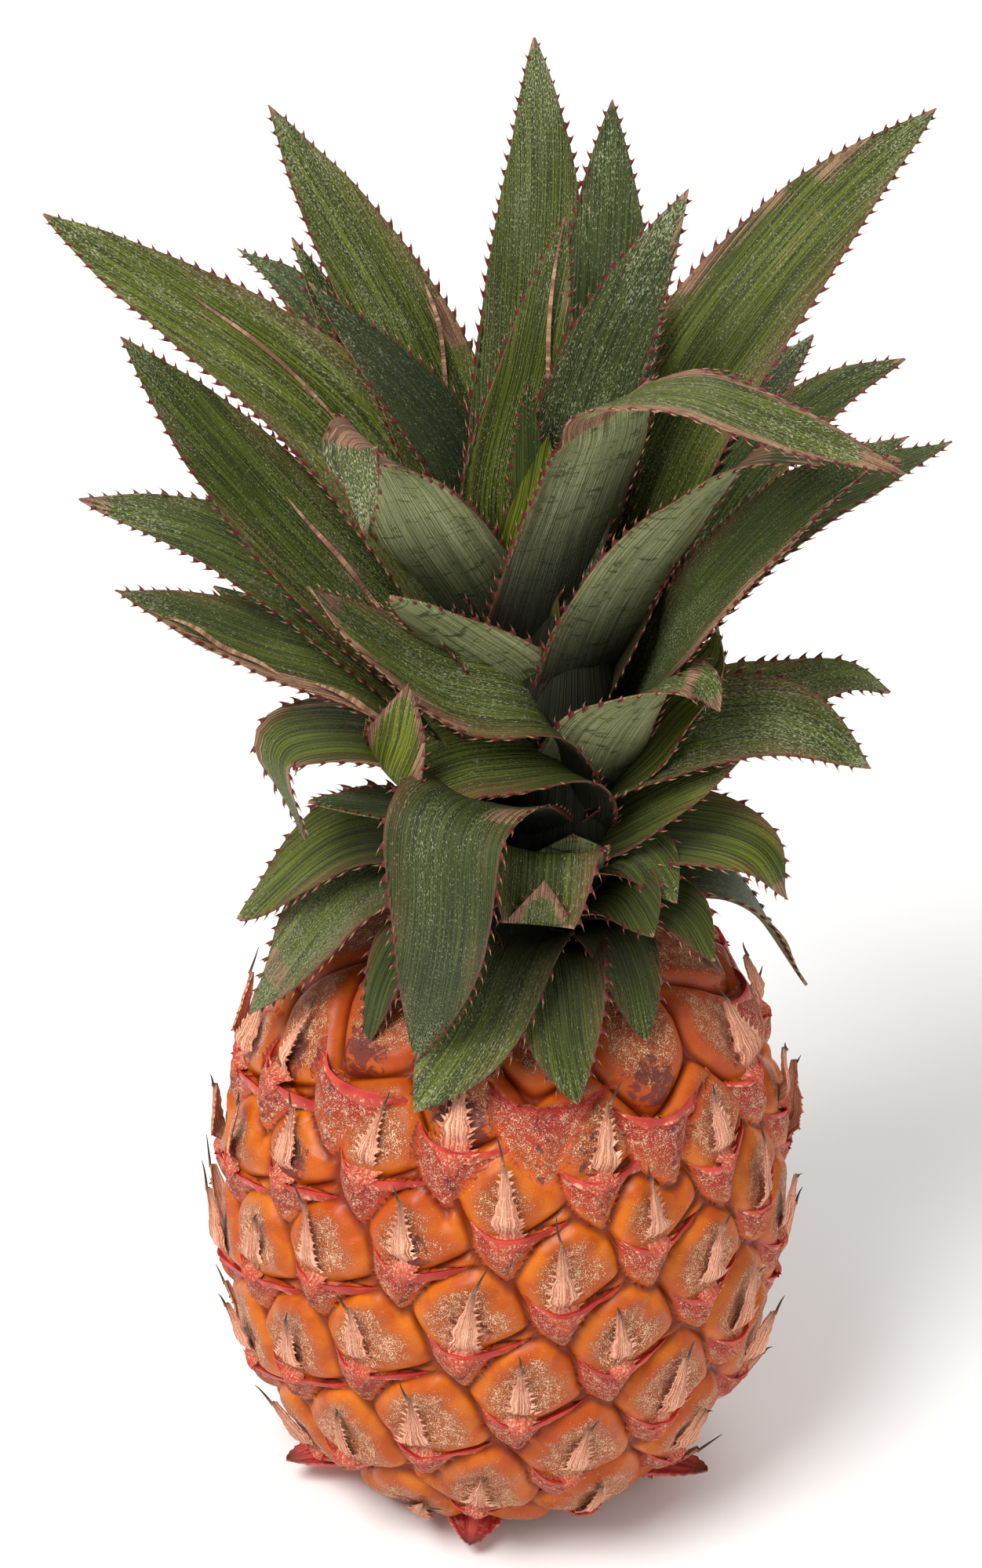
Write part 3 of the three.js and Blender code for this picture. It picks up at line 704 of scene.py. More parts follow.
# %% Skin material: the eyes
skin_finish, tree, shader = new_material("waxy_eyes", 0.45)
place = spot_on(tree)
inset, bract, dry_share, side, up, below_lip = (
    mark(tree, name) for name in ("inset", "bract", "dryness", "side", "up", "below_lip")
)
drift, wide_drift = cloud(tree, place, 210.0, 4.0), cloud(tree, place, 28.0, 2.0)
near_crown = fade(tree, node(tree, "SeparateXYZ", {"Vector": place}).outputs["Z"], 0.074, 0.09)
amber = blend(tree, fade(tree, drift, 0.35, 0.65), paint(176, 76, 3), paint(210, 112, 12))
amber = blend(tree, fade(tree, wide_drift, 0.52, 0.7, 0.0, 0.7), amber, paint(172, 60, 10))
amber = tint(tree, near_crown, 0.6, amber, paint(160, 58, 24))
middle = fade(tree, sums(tree, "MULTIPLY_ADD", drift, 2.4, inset), 1.4, 4.8)
ground = tint(tree, middle, 0.8, amber, paint(158, 64, 20))
cover = sums(tree, "MULTIPLY_ADD", middle, 0.4, sums(tree, "MULTIPLY_ADD", near_crown, -0.04, 0.16))
crumbs = use(tree, mealy, Vector=place, Scale=5600.0, Cover=cover, Clumps=0.25)
eye_skin = tint(tree, crumbs["Mask"], 0.84, ground, paint(255, 206, 164))
low = sums(tree, "ADD", up, 2.6)
from_flower = sums(tree, "ADD", sums(tree, "MULTIPLY", side, side), sums(tree, "MULTIPLY", low, low))
flower = fade(tree, from_flower, 17.0, 2.0, 0.0, 0.82)
stains = use(tree, blotches, Vector=place, Scale=520.0, Cover=sums(tree, "MULTIPLY", flower, dry_share))
eye_skin = tint(tree, stains["Mask"], 0.8, eye_skin, paint(92, 34, 36))
print("the eyes' paint takes", len(tree.nodes), "nodes")

# %% [markdown]
# ## Skin finish: the scales
# The bract's base is red to orange with the same crumbs, and reddest along its lip. Purple scars run
# down its keel. The grooves between eyes and scales are painted a deep red-brown, darker than the
# skin's own colour, as painted shade in the creases. A fruit's flesh lets a little light through,
# which the shader's subsurface part gives, redder the deeper it goes.

# %% Skin material: the scales
scale_ground = blend(tree, fade(tree, below_lip, 1.0, 5.0), paint(184, 50, 34), paint(208, 92, 24))
scale_ground = blend(tree, fade(tree, wide_drift, 0.5, 0.62, 0.0, 0.8), scale_ground, paint(178, 48, 38))
scale_ground = blend(tree, fade(tree, below_lip, 1.1, 0.0), scale_ground, paint(164, 34, 26))
scale_cover = sums(tree, "MULTIPLY_ADD", fade(tree, inset, 0.1, 1.8), 0.3, 0.22)
scale_crumbs = use(tree, mealy, Vector=place, Scale=4600.0, Cover=scale_cover, Clumps=0.35)
scale_mask = sums(tree, "MULTIPLY", scale_crumbs["Mask"], fade(tree, below_lip, 0.1, 1.0))
scale_skin = tint(tree, scale_mask, 0.8, scale_ground, paint(255, 202, 164))
keel = fade(tree, sums(tree, "ABSOLUTE", side), 2.2, 0.3)
scars = use(tree, blotches, Vector=place, Scale=700.0, Cover=sums(tree, "MULTIPLY", keel, 0.44))
scale_skin = tint(tree, scars["Mask"], 0.75, scale_skin, paint(92, 34, 56))

colour = blend(tree, bract, eye_skin, scale_skin)
# painted shade: the grooves are darkened to a deep red-brown, as shade in the creases
crease_shade = fade(tree, inset, 0.75, 0.05)
colour = tint(tree, crease_shade, 0.85, colour, paint(104, 24, 2))
gloss = sums(tree, "MULTIPLY_ADD", crumbs["Mask"], 0.25, fade(tree, inset, 1.0, 4.5, 0.42, 0.55))
grain = sums(tree, "ADD", sums(tree, "MULTIPLY", crumbs["Mask"], middle), scale_mask)
connect(tree, shader, colour, gloss, grain, 0.00018)
shader.inputs["Specular IOR Level"].default_value = 0.28
shader.inputs["Subsurface Weight"].default_value = 0.1
shader.inputs["Subsurface Radius"].default_value = (0.0022, 0.0008, 0.0003)
shader.inputs["Subsurface Scale"].default_value = 1.0
fruit_skin = skin.piece("fruit_skin", skin_finish, ["fruit"], crease=75)
print("skin faces:", len(fruit_skin.data.polygons))

# %% [markdown]
# ## Lips
# Along its upper edge a bract comes free as a thin red lip. A plain ridge in the skin would look
# cast, so the lip is a thin solid of its own. One small section is swept along the lip line, in
# the eye's own directions: across, up the fruit and out of the skin.

# %% Lip strips
LIP_SECTION = [(-0.9, -0.35), (-0.55, 0.0), (-0.25, 0.1), (0.0, 0.3), (0.2, 0.3), (0.2, -0.1), (-0.3, -0.9)]
LIP_FREE = [0, 0.2, 0.6, 1, 1, 0.8, 0.5]
LIP_STATIONS = 47
LIP_LOWEST, LIP_HIGHEST = 6, 90
LIP_SUNK, JUST_BELOW = 0.25, 0.3


def add_lip(eye):
    """A ruffled lip, full in the middle and sunk in the skin at both ends."""
    line = spline(LIP_LINE, LIP_STATIONS)[:, :2] * eye.scale
    x, y = line.T
    run = unit(np.gradient(line, axis=0))
    share = np.linspace(-1, 1, LIP_STATIONS)
    free = np.clip((1 - np.abs(share)) / 0.25, 0, 1) ** 0.8
    ruffle = 0.25 * np.sin(7 * share + eye.number) + 0.12 * np.sin(19 * share + 3 * eye.number)
    full = (0.12 + 0.88 * smooth((share + 0.62) / 0.6)) * (1 + ruffle)
    base = eye.bract_height(x, y - JUST_BELOW, eye.bract(x, y - JUST_BELOW)) * eye.fade(y)
    rings = []
    for up, out in LIP_SECTION:
        above = up * eye.scale * (0.3 + 0.7 * free) * full
        level = base + (out * full + 0.06) * free - LIP_SUNK * (1 - free)
        rings.append(eye.place(x - run[:, 1] * above, y + run[:, 0] * above, level))
    lips.loft(np.stack(rings, 1), edge=np.array(LIP_FREE)[None])


lips = Shape()
for eye in eyes:
    if LIP_LOWEST <= eye.z <= LIP_HIGHEST:
        add_lip(eye)
print("lip points:", lips.count)

# %% [markdown]
# ## Papery tips: the blade
# From the middle of the lip a papery toothed tip bends up over the eye. It is a thin leaf of skin
# with a keel, widest near its root. We lay it in rows along a path, and let every tip sway, bend
# and twist its own way. Tips at the sides of the fruit stand out more and are twisted more, most
# of all high on the right.

# %% Papery tips: the blade
TIP_ROWS, TIP_COLUMNS = 40, 7
TIP_PATH = [(-8.0, 0), (-6.9, 0), (-5.4, 0), (-3.6, 3.0), (-1.2, 3.2), (1.4, 3.1), (3.8, 3.1)]
TIP_SHARES = [0, 0.14, 0.36, 0.5, 0.68, 0.85, 1]
TIP_HALVES = [0.25, 0.85, 1.7, 1.45, 0.95, 0.42, 0.13]
TIP_STANDS, TIP_TWIST, TIP_PUFF, TIP_KEEL = 0.9, 0.8, 0.6, 0.45
TIP_THICK, ROOT_THICK = 0.16, 0.5
HIGH_ON_THE_RIGHT = 55


class Tip:
    """One papery tip: its rows from the root (0) to the end (1), each with a place and a width."""

    def __init__(self, eye, sway, bend, length, curl, broken, puff):
        s, to_the_side = np.linspace(0, 1, TIP_ROWS), abs(math.cos(eye.angle)) ** 4
        high = math.cos(eye.angle) > 0 and eye.z > HIGH_ON_THE_RIGHT
        self.eye, self.s, self.sway, self.bend, self.length, self.curl = eye, s, sway, bend, length, curl
        self.broken = broken > 0.7
        self.size = eye.scale * (1 + 0.12 * length)
        self.rise = TIP_PUFF * (1 + puff) + TIP_STANDS * to_the_side * (1 + high)
        self.twist = (0.3 + TIP_TWIST * to_the_side) * (curl + 0.35 * np.sign(curl))
        run = spline([(0, up, out) for up, out in TIP_PATH], TIP_ROWS)
        self.up, self.out = run[:, 1] * self.size, run[:, 2] * (0.72 + 0.28 * self.size)
        self.side = (1.7 * sway * s**1.3 + 1.3 * bend * s**2.5) * self.size
        wave = 1 + 0.12 * np.sin(s * 23 + eye.number) + 0.1 * np.sin(s * 51 - eye.number)
        self.half = np.interp(s, TIP_SHARES, TIP_HALVES) * self.size * wave
        self.lying = smooth((0.5 - s) / 0.22)

    def level(self, i, v, x, y):
        """Height of a row: on the bract's skin at the root, free of it further up."""
        eye, s = self.eye, self.s[i]
        skin_level = eye.bract_height(x, y, eye.bract(x, y)) * eye.fade(y) + 0.1 * (1 - v**2)
        keel = TIP_KEEL * (1 - v**2) + 0.12 * np.cos(v * 9 + eye.number) + self.twist * v * self.half[i] * s
        free_level = (self.out[i] + self.rise * s**2.2) * eye.fade(y) ** 0.5 + keel
        over_lip = 0.5 * np.exp(-(((y - eye.lip(x)) / eye.scale / 0.9) ** 2)) * eye.fade(y)
        return skin_level * self.lying[i] + free_level * (1 - self.lying[i]) + over_lip

    def add_blade(self):
        """The papery blade: every row goes over the front and back under the rear."""
        v = np.linspace(-1, 1, TIP_COLUMNS)
        rows = []
        for i in range(TIP_ROWS):
            x = self.side[i] + v * self.half[i]
            y = self.up[i] - 0.15 * v * self.half[i] * (self.sway + self.bend) * self.s[i]
            level = self.level(i, v, x, y)
            back = self.eye.place(x, y, level - TIP_THICK - ROOT_THICK * self.lying[i])
            rows.append(np.vstack([self.eye.place(x, y, level), back[::-1]]))
        across = np.concatenate([v, v[::-1]])[None]
        tips.loft(rows, along=self.s[:, None], across=across, seed=self.eye.number, hair=0.0)


tips = Shape()
print("a tip runs from", TIP_PATH[0][0], "to", TIP_PATH[-1][0], "mm along its eye")

# %% [markdown]
# ## Papery tips: bristles and hair
# Both edges of a tip are set with small sharp teeth, and its end runs out into a dry hair. A tooth
# is a three-sided spike whose foot is sunk in the edge. The hair is a tapering tube, and on a few
# tips it has broken off short.

# %% Papery tips: bristles and hair
BRISTLES, BRISTLE_LENGTH, BRISTLE_FOOT, BRISTLE_DEPTH = 15, 1.4, 0.34, 0.12
HAIR_ROWS, HAIR_SIDES, HAIR_LENGTH, BROKEN_SHARE = 9, 5, 3.2, 0.25
TIP_LOWEST, TIP_HIGHEST, TIP_SEED = 8, 86, 29


def add_bristles(tip, chances):
    """Rows of spikes along both edges; each takes its length from chance, and leans up the tip."""
    eye, depth = tip.eye, BRISTLE_DEPTH
    for edge, sign in ((0, -1), (1, 1)):
        feet = [(-sign * depth, -BRISTLE_FOOT, 0), (-sign * depth, BRISTLE_FOOT, 0), (0.0, 0.0, depth)]
        for n in range(BRISTLES):
            chance, other = chances[edge, n], chances[1 - edge, n]
            i = int(TIP_ROWS * (0.24 + 0.7 * (n + 0.3 * other) / BRISTLES))
            x, y = tip.side[i] + sign * tip.half[i], tip.up[i]
            level = tip.level(i, sign * 0.97, x, y) - 0.05
            reach = chance * BRISTLE_LENGTH * tip.size * (1.1 - 0.6 * tip.s[i])
            ring = [eye.place(x + fx, y + fy, level + fz) for fx, fy, fz in feet]
            end = eye.place(x + sign * reach * 0.8, y + reach * 0.55, level + 0.3 * reach * other)
            marks = dict(along=tip.s[i], across=float(sign), seed=eye.number, hair=0.0)
            tips.loft([ring if sign > 0 else ring[::-1]], tip=end, **marks)


def add_hair(tip):
    """A tapering tube that goes on from the end of the tip, out and up."""
    h = np.linspace(0, 1, HAIR_ROWS)
    length = (HAIR_LENGTH + 0.9 * tip.length) * tip.size * (BROKEN_SHARE if tip.broken else 1)
    x = tip.side[-1] + (0.35 * tip.sway + 0.45 * tip.bend) * length * h + 0.4 * tip.curl * np.sin(2.5 * h)
    y = tip.up[-1] - 0.5 + length * h * (1 - 0.2 * abs(tip.bend) * h)
    level = (tip.out[-1] + tip.rise) * tip.eye.fade(tip.up[-1]) ** 0.5 + 0.4 + 0.8 * h**1.6
    core = tip.eye.place(x, y, level)
    outward = unit(core - tip.eye.place(x, y, level - 1))
    sideways = np.cross(unit(np.gradient(core, axis=0)), outward)
    turn = np.linspace(0, 2 * math.pi, HAIR_SIDES, endpoint=False)[None, :, None]
    thick = (0.2 * (1 - h) ** 0.8 + 0.05)[:, None, None]
    rings = core[:, None] + thick * (np.cos(turn) * sideways[:, None] + np.sin(turn) * outward[:, None])
    tips.loft(rings, along=1 + h[:, None], across=0.0, seed=tip.eye.number, hair=smooth(h * 3)[:, None])


draw = np.random.default_rng(TIP_SEED)
for eye in eyes:
    habits = draw.uniform(-1, 1, 6)
    bristle_chances = draw.uniform(0.3, 1.0, (2, BRISTLES))
    if TIP_LOWEST <= eye.z <= TIP_HIGHEST:
        tip = Tip(eye, *habits)
        tip.add_blade()
        add_bristles(tip, bristle_chances)
        add_hair(tip)
print("tip points:", tips.count)

# %% [markdown]
# ## Finish of the papery tips
# The papery part is dry and fibrous: fine pale ribs that run up into the hair, redder at the root
# and browner where it thins out. The ribs come from the numbers painted on the points, along and
# across, so they follow each tip however it sways. A picture laid over the tips could not do that.

# %% Paper material
paper_finish, tree, shader = new_material("papery_bract", 0.8)
along, across, seed, hair = (mark(tree, n) for n in ("along", "across", "seed", "hair"))
ribs = use(tree, fibres, Along=sums(tree, "MULTIPLY", along, 30.0), Across=across, Seed=seed, Pitch=0.09)
rib = fade(tree, ribs["Line"], 0.38, 0.62)
root = fade(tree, along, 0.5, 0.3)
paper = blend(tree, rib, paint(170, 92, 66), paint(240, 180, 148))
paper = tint(tree, root, 0.85, paper, paint(180, 60, 38))
place = spot_on(tree)
dust = use(tree, mealy, Vector=place, Scale=3000.0, Cover=0.46, Clumps=0.3)
paper = tint(tree, dust["Mask"], 0.5, paper, paint(250, 194, 164))
stains = use(tree, blotches, Vector=place, Scale=600.0, Cover=0.3)
paper = tint(tree, stains["Mask"], 0.5, paper, paint(124, 62, 56))
paper = blend(tree, fade(tree, along, 0.8, 1.1), paper, paint(140, 104, 80))
paper = blend(tree, hair, paper, paint(70, 56, 50))
connect(tree, shader, paper, None, ribs["Line"], 0.0003)
shader.inputs["Specular IOR Level"].default_value = 0.2
bract_tips = tips.piece("bract_tips", paper_finish, crease=60)
print("papery tips:", len(bract_tips.data.polygons), "faces")

# %% [markdown]
# ## Finish of the lips
# A lip is smooth and red where it stands free, and paler and mealy where it grows out of the bract.
# The number `edge` on its points says how free each spot is.

# %% Lip material
lip_finish, tree, shader = new_material("bract_lip", 0.5)
edge = mark(tree, "edge")
place = spot_on(tree)
drift = cloud(tree, place, 220.0, 3.0)
red = blend(tree, fade(tree, drift, 0.35, 0.65), paint(160, 22, 20), paint(198, 56, 38))
pale = blend(tree, fade(tree, drift, 0.3, 0.7), paint(170, 50, 36), paint(186, 78, 46))
colour = blend(tree, fade(tree, edge, 0.1, 0.9), pale, red)
dust = use(tree, mealy, Vector=place, Scale=1300.0, Cover=0.42)
dusted = sums(tree, "MULTIPLY", dust["Mask"], fade(tree, edge, 0.75, 0.1))
colour = tint(tree, dusted, 0.7, colour, paint(246, 184, 150))
connect(tree, shader, colour, None, drift, 0.0002)
bract_lips = lips.piece("bract_lips", lip_finish, crease=70)
print("lips:", len(bract_lips.data.polygons), "faces")

# %% [markdown]
# ## Broad bracts at the foot
# The lowest eyes grow a few broader bracts, which stand out under the fruit like a torn collar.
# They are fleshy near the body and end in a dry brown point, with teeth like a saw along both
# edges. Each is a row of cupped sections that starts inside the body and points outward.

# %% Foot bracts
FOOT_BRACTS = [(20, 32, 5), (75, 33, 4), (135, 31, 5), (209, 35.4, 5.2), (266, 32.5, 3.4), (334, 37.2, 6.6)]
FOOT_ROWS, FOOT_TEETH, TOOTH = 40, 14, 0.55
FOOT_START, FOOT_RISE, FOOT_SAG, FOOT_HALF, FOOT_SEED = 19, 5.6, 0.7, 7.4, 3

foot = Shape()
draw = np.random.default_rng(FOOT_SEED)
v = np.linspace(-1, 1, 9)
for azimuth, reach, tip_height in FOOT_BRACTS:
    angle = math.radians(azimuth)
    outward = np.array([math.cos(angle), math.sin(angle), 0])
    sideways = np.array([-math.sin(angle), math.cos(angle), 0])
    teeth = draw.uniform(0.3, 1, (2, FOOT_ROWS))
    rings = []
    for s in np.linspace(0, 1, FOOT_ROWS):
        saw = (s * FOOT_TEETH) % 1 * teeth[(v > 0).astype(int), int(s * FOOT_TEETH)]
        half = FOOT_HALF * (1 - s) ** 0.75 + 0.12
        grow = half + np.where(np.abs(v) > 0.9, TOOTH * saw, 0) * smooth(s / 0.3)
        out = FOOT_START + (reach - FOOT_START - 0.2) * s
        height = FOOT_RISE - FOOT_SAG * math.sin(s * math.pi) + (tip_height - FOOT_RISE) * s
        cup = 0.7 * v**2 * (1 - s) + 0.16 * np.sin(v * 7 + azimuth)
        top = outward * out + sideways * (v * grow)[:, None]
        top[:, 2] = height + cup
        rings.append(np.vstack([top, top[::-1] - np.array([0, 0, 0.9 * (1 - s) + 0.18])]))
    along, across = np.linspace(0, 1, FOOT_ROWS)[:, None], np.concatenate([v, v[::-1]])[None]
    foot.loft(rings, along=along, across=across, seed=azimuth / 60)
print("foot bracts:", len(FOOT_BRACTS))

# %% [markdown]
# ## Finish of the foot bracts
# The flesh is crimson to pink with fine ribs and a little meal, and the points are dry and brown.
# It shares the fibres and the mealy specks with the papery tips, with its own sizes and colours.

# %% Foot material
foot_finish, tree, shader = new_material("foot_bract", 0.55)
along, across, seed = (mark(tree, name) for name in ("along", "across", "seed"))
ribs = use(tree, fibres, Along=sums(tree, "MULTIPLY", along, 12.0), Across=across, Seed=seed, Pitch=0.14)
fleshy = blend(tree, fade(tree, ribs["Line"], 0.35, 0.65), paint(178, 40, 50), paint(226, 104, 92))
dust = use(tree, mealy, Vector=spot_on(tree), Scale=1300.0, Cover=0.36)
fleshy = tint(tree, dust["Mask"], 0.6, fleshy, paint(222, 150, 128))
fleshy = tint(tree, fade(tree, along, 0.72, 0.95), 0.8, fleshy, paint(112, 66, 58))
connect(tree, shader, fleshy, None, ribs["Line"], 0.0003)
foot_bracts = foot.piece("foot_bracts", foot_finish, crease=60)
print("their faces:", len(foot_bracts.data.polygons))

# %% [markdown]
# ## The cut stalk
# The fruit stands on the flat cut across its stalk, which shows the porous wood of the stem inside a
# darker rind. It is a shallow dish of rings that closes the skin from below.

# %% Cut stalk
FOOT_RADIUS = float(body_radius(np.array(0.0)))
STALK_RINGS = [(3, 0.35), (6, 0.3), (10.5, 0.25), (12, 0.0)]
STALK_RINGS += [(FOOT_RADIUS - 0.1, 0.05), (FOOT_RADIUS - 0.2, 0.6)]

turn = np.linspace(0, 2 * math.pi, 72, endpoint=False)
rings = []
for radius, z in STALK_RINGS:
    rough = radius + 0.12 * np.sin(turn * 11 + radius) + 0.1 * np.sin(turn * 5 - radius)
    rings.append(np.stack([rough * np.cos(turn), rough * np.sin(turn), z + 0 * turn], -1))
stalk = Shape()
stalk.loft(rings, radius=np.array(STALK_RINGS)[:, :1])
stalk_finish, tree, shader = new_material("cut_stalk", 0.85)
pores = cloud(tree, spot_on(tree), 900.0, 4.0)
wood = blend(tree, fade(tree, pores, 0.4, 0.6), paint(150, 112, 70), paint(206, 172, 120))
wood = blend(tree, fade(tree, mark(tree, "radius"), 11.0, 13.5), wood, paint(132, 82, 48))
connect(tree, shader, wood, None, pores, 0.0004)
cut_stalk = stalk.piece("cut_stalk", stalk_finish, crease=40)
print("foot radius:", round(FOOT_RADIUS, 1), "mm; faces of the stalk:", len(cut_stalk.data.polygons))

# %% [markdown]
# ## The crown's leaves
# Every leaf is a stiff channelled blade. It is given by its azimuth, how far its heading turns, the
# points of its midline as (out, up, sideways) in its own upright plane, its width, and its twist at
# half length and at the tip. The three youngest leaves belong to the heart of the crown.

# %% Leaf table
CROWN_X, CROWN_Z, CROWN_LEAN = 2.5, 98.0, math.radians(2)
LEAVES = [
    ("tallest", 112, 0, [(4, 36), (8, 66, 4), (20, 88), (32, 106, -4), (43, 120, -6)], 19, (0, 0)),
    ("torn_back", 105, 0, [(2, 38), (3, 66, 9), (8, 89, 5), (17, 106)], 14, (0, 0)),
    ("heart_right", 20, 0, [(-1, 40, 1), (0, 74, 1), (3, 92, 1), (8, 108), (12, 119, -1)], 15, (55, 60)),
    ("tall_back", 90, 0, [(4, 34), (12, 73, -2), (22, 94, -2), (35, 115, -1)], 18, (0, 0)),
    ("tall_right", 38, 0, [(5, 32), (12, 66, 1), (22, 86, 1), (41, 105, 1), (59, 117)], 21, (25, 30)),
    ("tall_left", 150, 0, [(5, 28), (17, 62, -1), (32, 88, -1), (54, 114)], 20, (-20, -20)),
    ("dark_left", 168, 0, [(5, 28), (12, 57, -1), (19, 75, -1), (40, 97)], 14, (-25, -30)),
    ("front_tall", 275, 60,
     [(3, 22), (3, 43, -3), (6, 66, -1), (12, 87, 2),
      (20, 98, 2), (27, 104, 11), (30, 102, 22), (34, 97, 40)],
     17, (-30, 40)),
    ("hanging_tip", 240, -20,
     [(3, 26), (7, 49, -8), (15, 66, -14), (24, 82, -17), (31, 87, -18), (34, 83, -14), (34, 76, -13)],
     18, (45, -45)),
    ("pale_right", 310, 25,
     [(4, 20), (5, 39), (10, 57), (15, 71, 4), (24, 86, 8), (30, 90, 14), (36, 87, 27)],
     15, (-35, 30)),
    ("behind_left", 156, 0, [(6, 24), (23, 61), (35, 82), (46, 98)], 12, (-30, -35)),
    ("far_left", 172, 0, [(5, 28), (15, 48), (36, 78, -1), (77, 103)], 21, (-28, -30)),
    ("behind_right", 5, 0, [(6, 20), (18, 63), (26, 79, 1), (35, 89, 1), (44, 95)], 15, (35, 40)),
    ("rolled_right", 325, 15,
     [(7, 18, 1), (11, 40, 6), (19, 58, 3), (28, 74, 3), (37, 87, 4), (48, 98, 7)],
     15, (38, 48)),
    ("pale_left", 235, -20, [(4, 22), (7, 41, -1), (16, 52, -7), (27, 62, -11)], 15, (45, 45)),
    ("folded_left", 240, -25,
     [(5, 20), (8, 40, 2), (18, 46, -9), (28, 57, -18), (32, 63, -23)],
     18, (-35, -35)),
    ("curled_left", 140, 0, [(6, 18), (34, 62), (49, 77), (56, 81), (66, 82)], 13, (-30, -25)),
    ("split_left", 185, 0, [(6, 22), (20, 43), (43, 69), (64, 94)], 19, (-40, -45)),
    ("green_right", 350, 0, [(6, 18), (16, 39), (22, 48), (22, 54)], 16, (40, 40)),
    ("arching_right", 290, 30,
     [(6, 10), (9, 28, 2), (13, 40, 4), (18, 50, 9), (21, 52, 13), (22, 47, 16)],
     17, (-30, 30)),
    ("tip_up", 255, -45,
     [(5, 14), (8, 32, 3), (15, 35, -8), (21, 32, -17), (24, 42, -16), (25, 51, -15)],
     18, (-25, 55)),
    ("wide_right", 350, 0, [(6, 14), (13, 30), (24, 38), (35, 40), (46, 34, 1)], 17, (30, 35)),
    ("far_right", 10, 0, [(6, 12), (22, 34), (33, 38), (42, 40), (49, 37)], 12, (30, 35)),
    ("dark_low", 174, 0, [(7, 10), (14, 25), (27, 37), (50, 48)], 12, (-20, -20)),
    ("brown_tip", 188, 0, [(6, 18), (20, 39), (36, 55), (52, 65), (69, 70)], 18, (-26, -28)),
    ("torn", 205, -9, [(7, 8), (24, 40, -3), (44, 51, -7), (64, 61, -10)], 17, (-24, -26)),
    ("front_big", 250, 0,
     [(7, 10), (10, 19, -2), (21, 31, -2), (32, 33, -3), (37, 18, -1), (34, -6, -4)],
     19, (0, 0)),
    ("recurved", 215, -10,
     [(7, 6), (12, 22, -3), (23, 32, -7), (35, 36, -9), (40, 33, -10), (38, 22, -4)],
     18, (-10, -10)),
    ("low_right", 320, 15, [(7, 6), (9, 17, 1), (18, 28, 5), (26, 35, 11)], 14, (45, 45)),
    ("under_recurved", 215, 0, [(7, 6), (18, 21), (33, 29), (41, 32)], 11, (0, 0)),
    ("right_curl", 345, 0, [(7, 6), (15, 17), (24, 20), (32, 19), (37, 12)], 15, (20, 20)),
    ("right_short", 322, 0, [(7, 5), (11, 15), (18, 19), (25, 14)], 13, (20, 25)),
    ("olive", 308, 10, [(8, 3), (14, 11), (20, 15), (27, 12)], 14, (20, 25)),
    ("front_tucked", 270, 0,
     [(9, 2), (13, 11), (18, 21), (24, 26), (28, 22), (29, 18), (31, 27)],
     18, (0, 0)),
    ("shoulder_left", 186, 0, [(8, 5), (19, 13, 1), (30, 12, 1), (43, -3)], 16, (-15, -15)),
    ("right_arch", 330, 0, [(8, 2), (16, 8), (24, 10), (30, 4)], 12, (10, 10)),
    ("wide_left", 197, 0, [(8, 1), (17, 10), (28, 7), (42, -14)], 19, (-10, -10)),
    ("front_low", 252, 0, [(8, 1), (22, 7, 2), (30, -1, 1), (37, -13, -4)], 18, (0, 0)),
    ("front_right", 278, 0, [(8, 0), (20, 5), (30, -2, 1), (35, -9, 3)], 15, (0, 0)),
    ("right_low", 308, 0, [(8, 1), (17, 7), (23, 3), (28, -6)], 11, (10, 15)),
    ("small_dark", 222, 0, [(8, -1), (22, 5), (28, 0), (31, -13)], 9, (0, 0)),
    ("front_small", 262, 0, [(8, -2), (20, 1), (26, -3), (31, -8)], 7, (0, 0)),
]
HEART_LEAVES = [
    ("young_back", 60, 0, [(2, 34), (10, 76), (16, 88), (20, 97)], 11, (0, 0)),
    ("young_left", 195, 0, [(1.5, 38), (5, 63), (7, 78), (8, 90)], 7, (60, 60)),
    ("young_green", 210, 0, [(1.5, 38), (7, 60), (6, 71), (5, 82)], 10, (35, 35)),
]
print("leaves noted one by one:", len(LEAVES) + len(HEART_LEAVES))

# %% [markdown]
# ## The far side
# The leaves at the back follow a rule: three tiers, each with one usual midline, and every leaf
# varies a little in size, height, twist and direction. The solids were made by the same rule, so
# the random numbers have to be the same ones, and we make them ourselves.

# %% Leaves of the far side
BACK_TIERS = [
    ("rising", (22, 56, 90, 124), [(6, 18), (16, 46), (33, 66), (56, 76)], 16),
    ("spread", (28, 58, 88, 118, 148), [(8, 4), (15, 18), (30, 28), (48, 23)], 17),
    ("shoulder", (12, 42, 72, 102, 132, 160), [(8, -2.5), (19, 5), (30, 2.5), (41, -13)], 16),
]
BACK_SIZE, BACK_HEIGHT, BACK_AZIMUTH, BACK_TWIST, BACK_SEED = 0.11, 4, 5, 12, 5


def repeatable(seed):
    """The same stream of random numbers from -1 to 1 as the solids use."""
    state = float(seed)
    while True:
        state = math.fmod(state * 1103515245.0 + 12345.0, 2147483648.0)
        yield state / 2147483648.0 * 2 - 1


def back_leaves():
    """The leaves of the far side, each a varied copy of its tier's midline."""
    numbers = repeatable(BACK_SEED)
    made = []
    for tier, azimuths, path, width in BACK_TIERS:
        for i, azimuth in enumerate(azimuths):
            size = 1 + BACK_SIZE * next(numbers)
            lift = BACK_HEIGHT * next(numbers)
            twist = BACK_TWIST * next(numbers)
            varied = [path[0]] + [(out * size, up + lift * p / 2) for p, (out, up) in enumerate(path) if p]
            turned = azimuth + BACK_AZIMUTH * next(numbers)
            made.append((f"back_{tier}_{i + 1}", turned, 0, varied, width, (twist, twist)))
    return made


all_leaves = LEAVES + back_leaves()
print("leaves:", len(all_leaves))

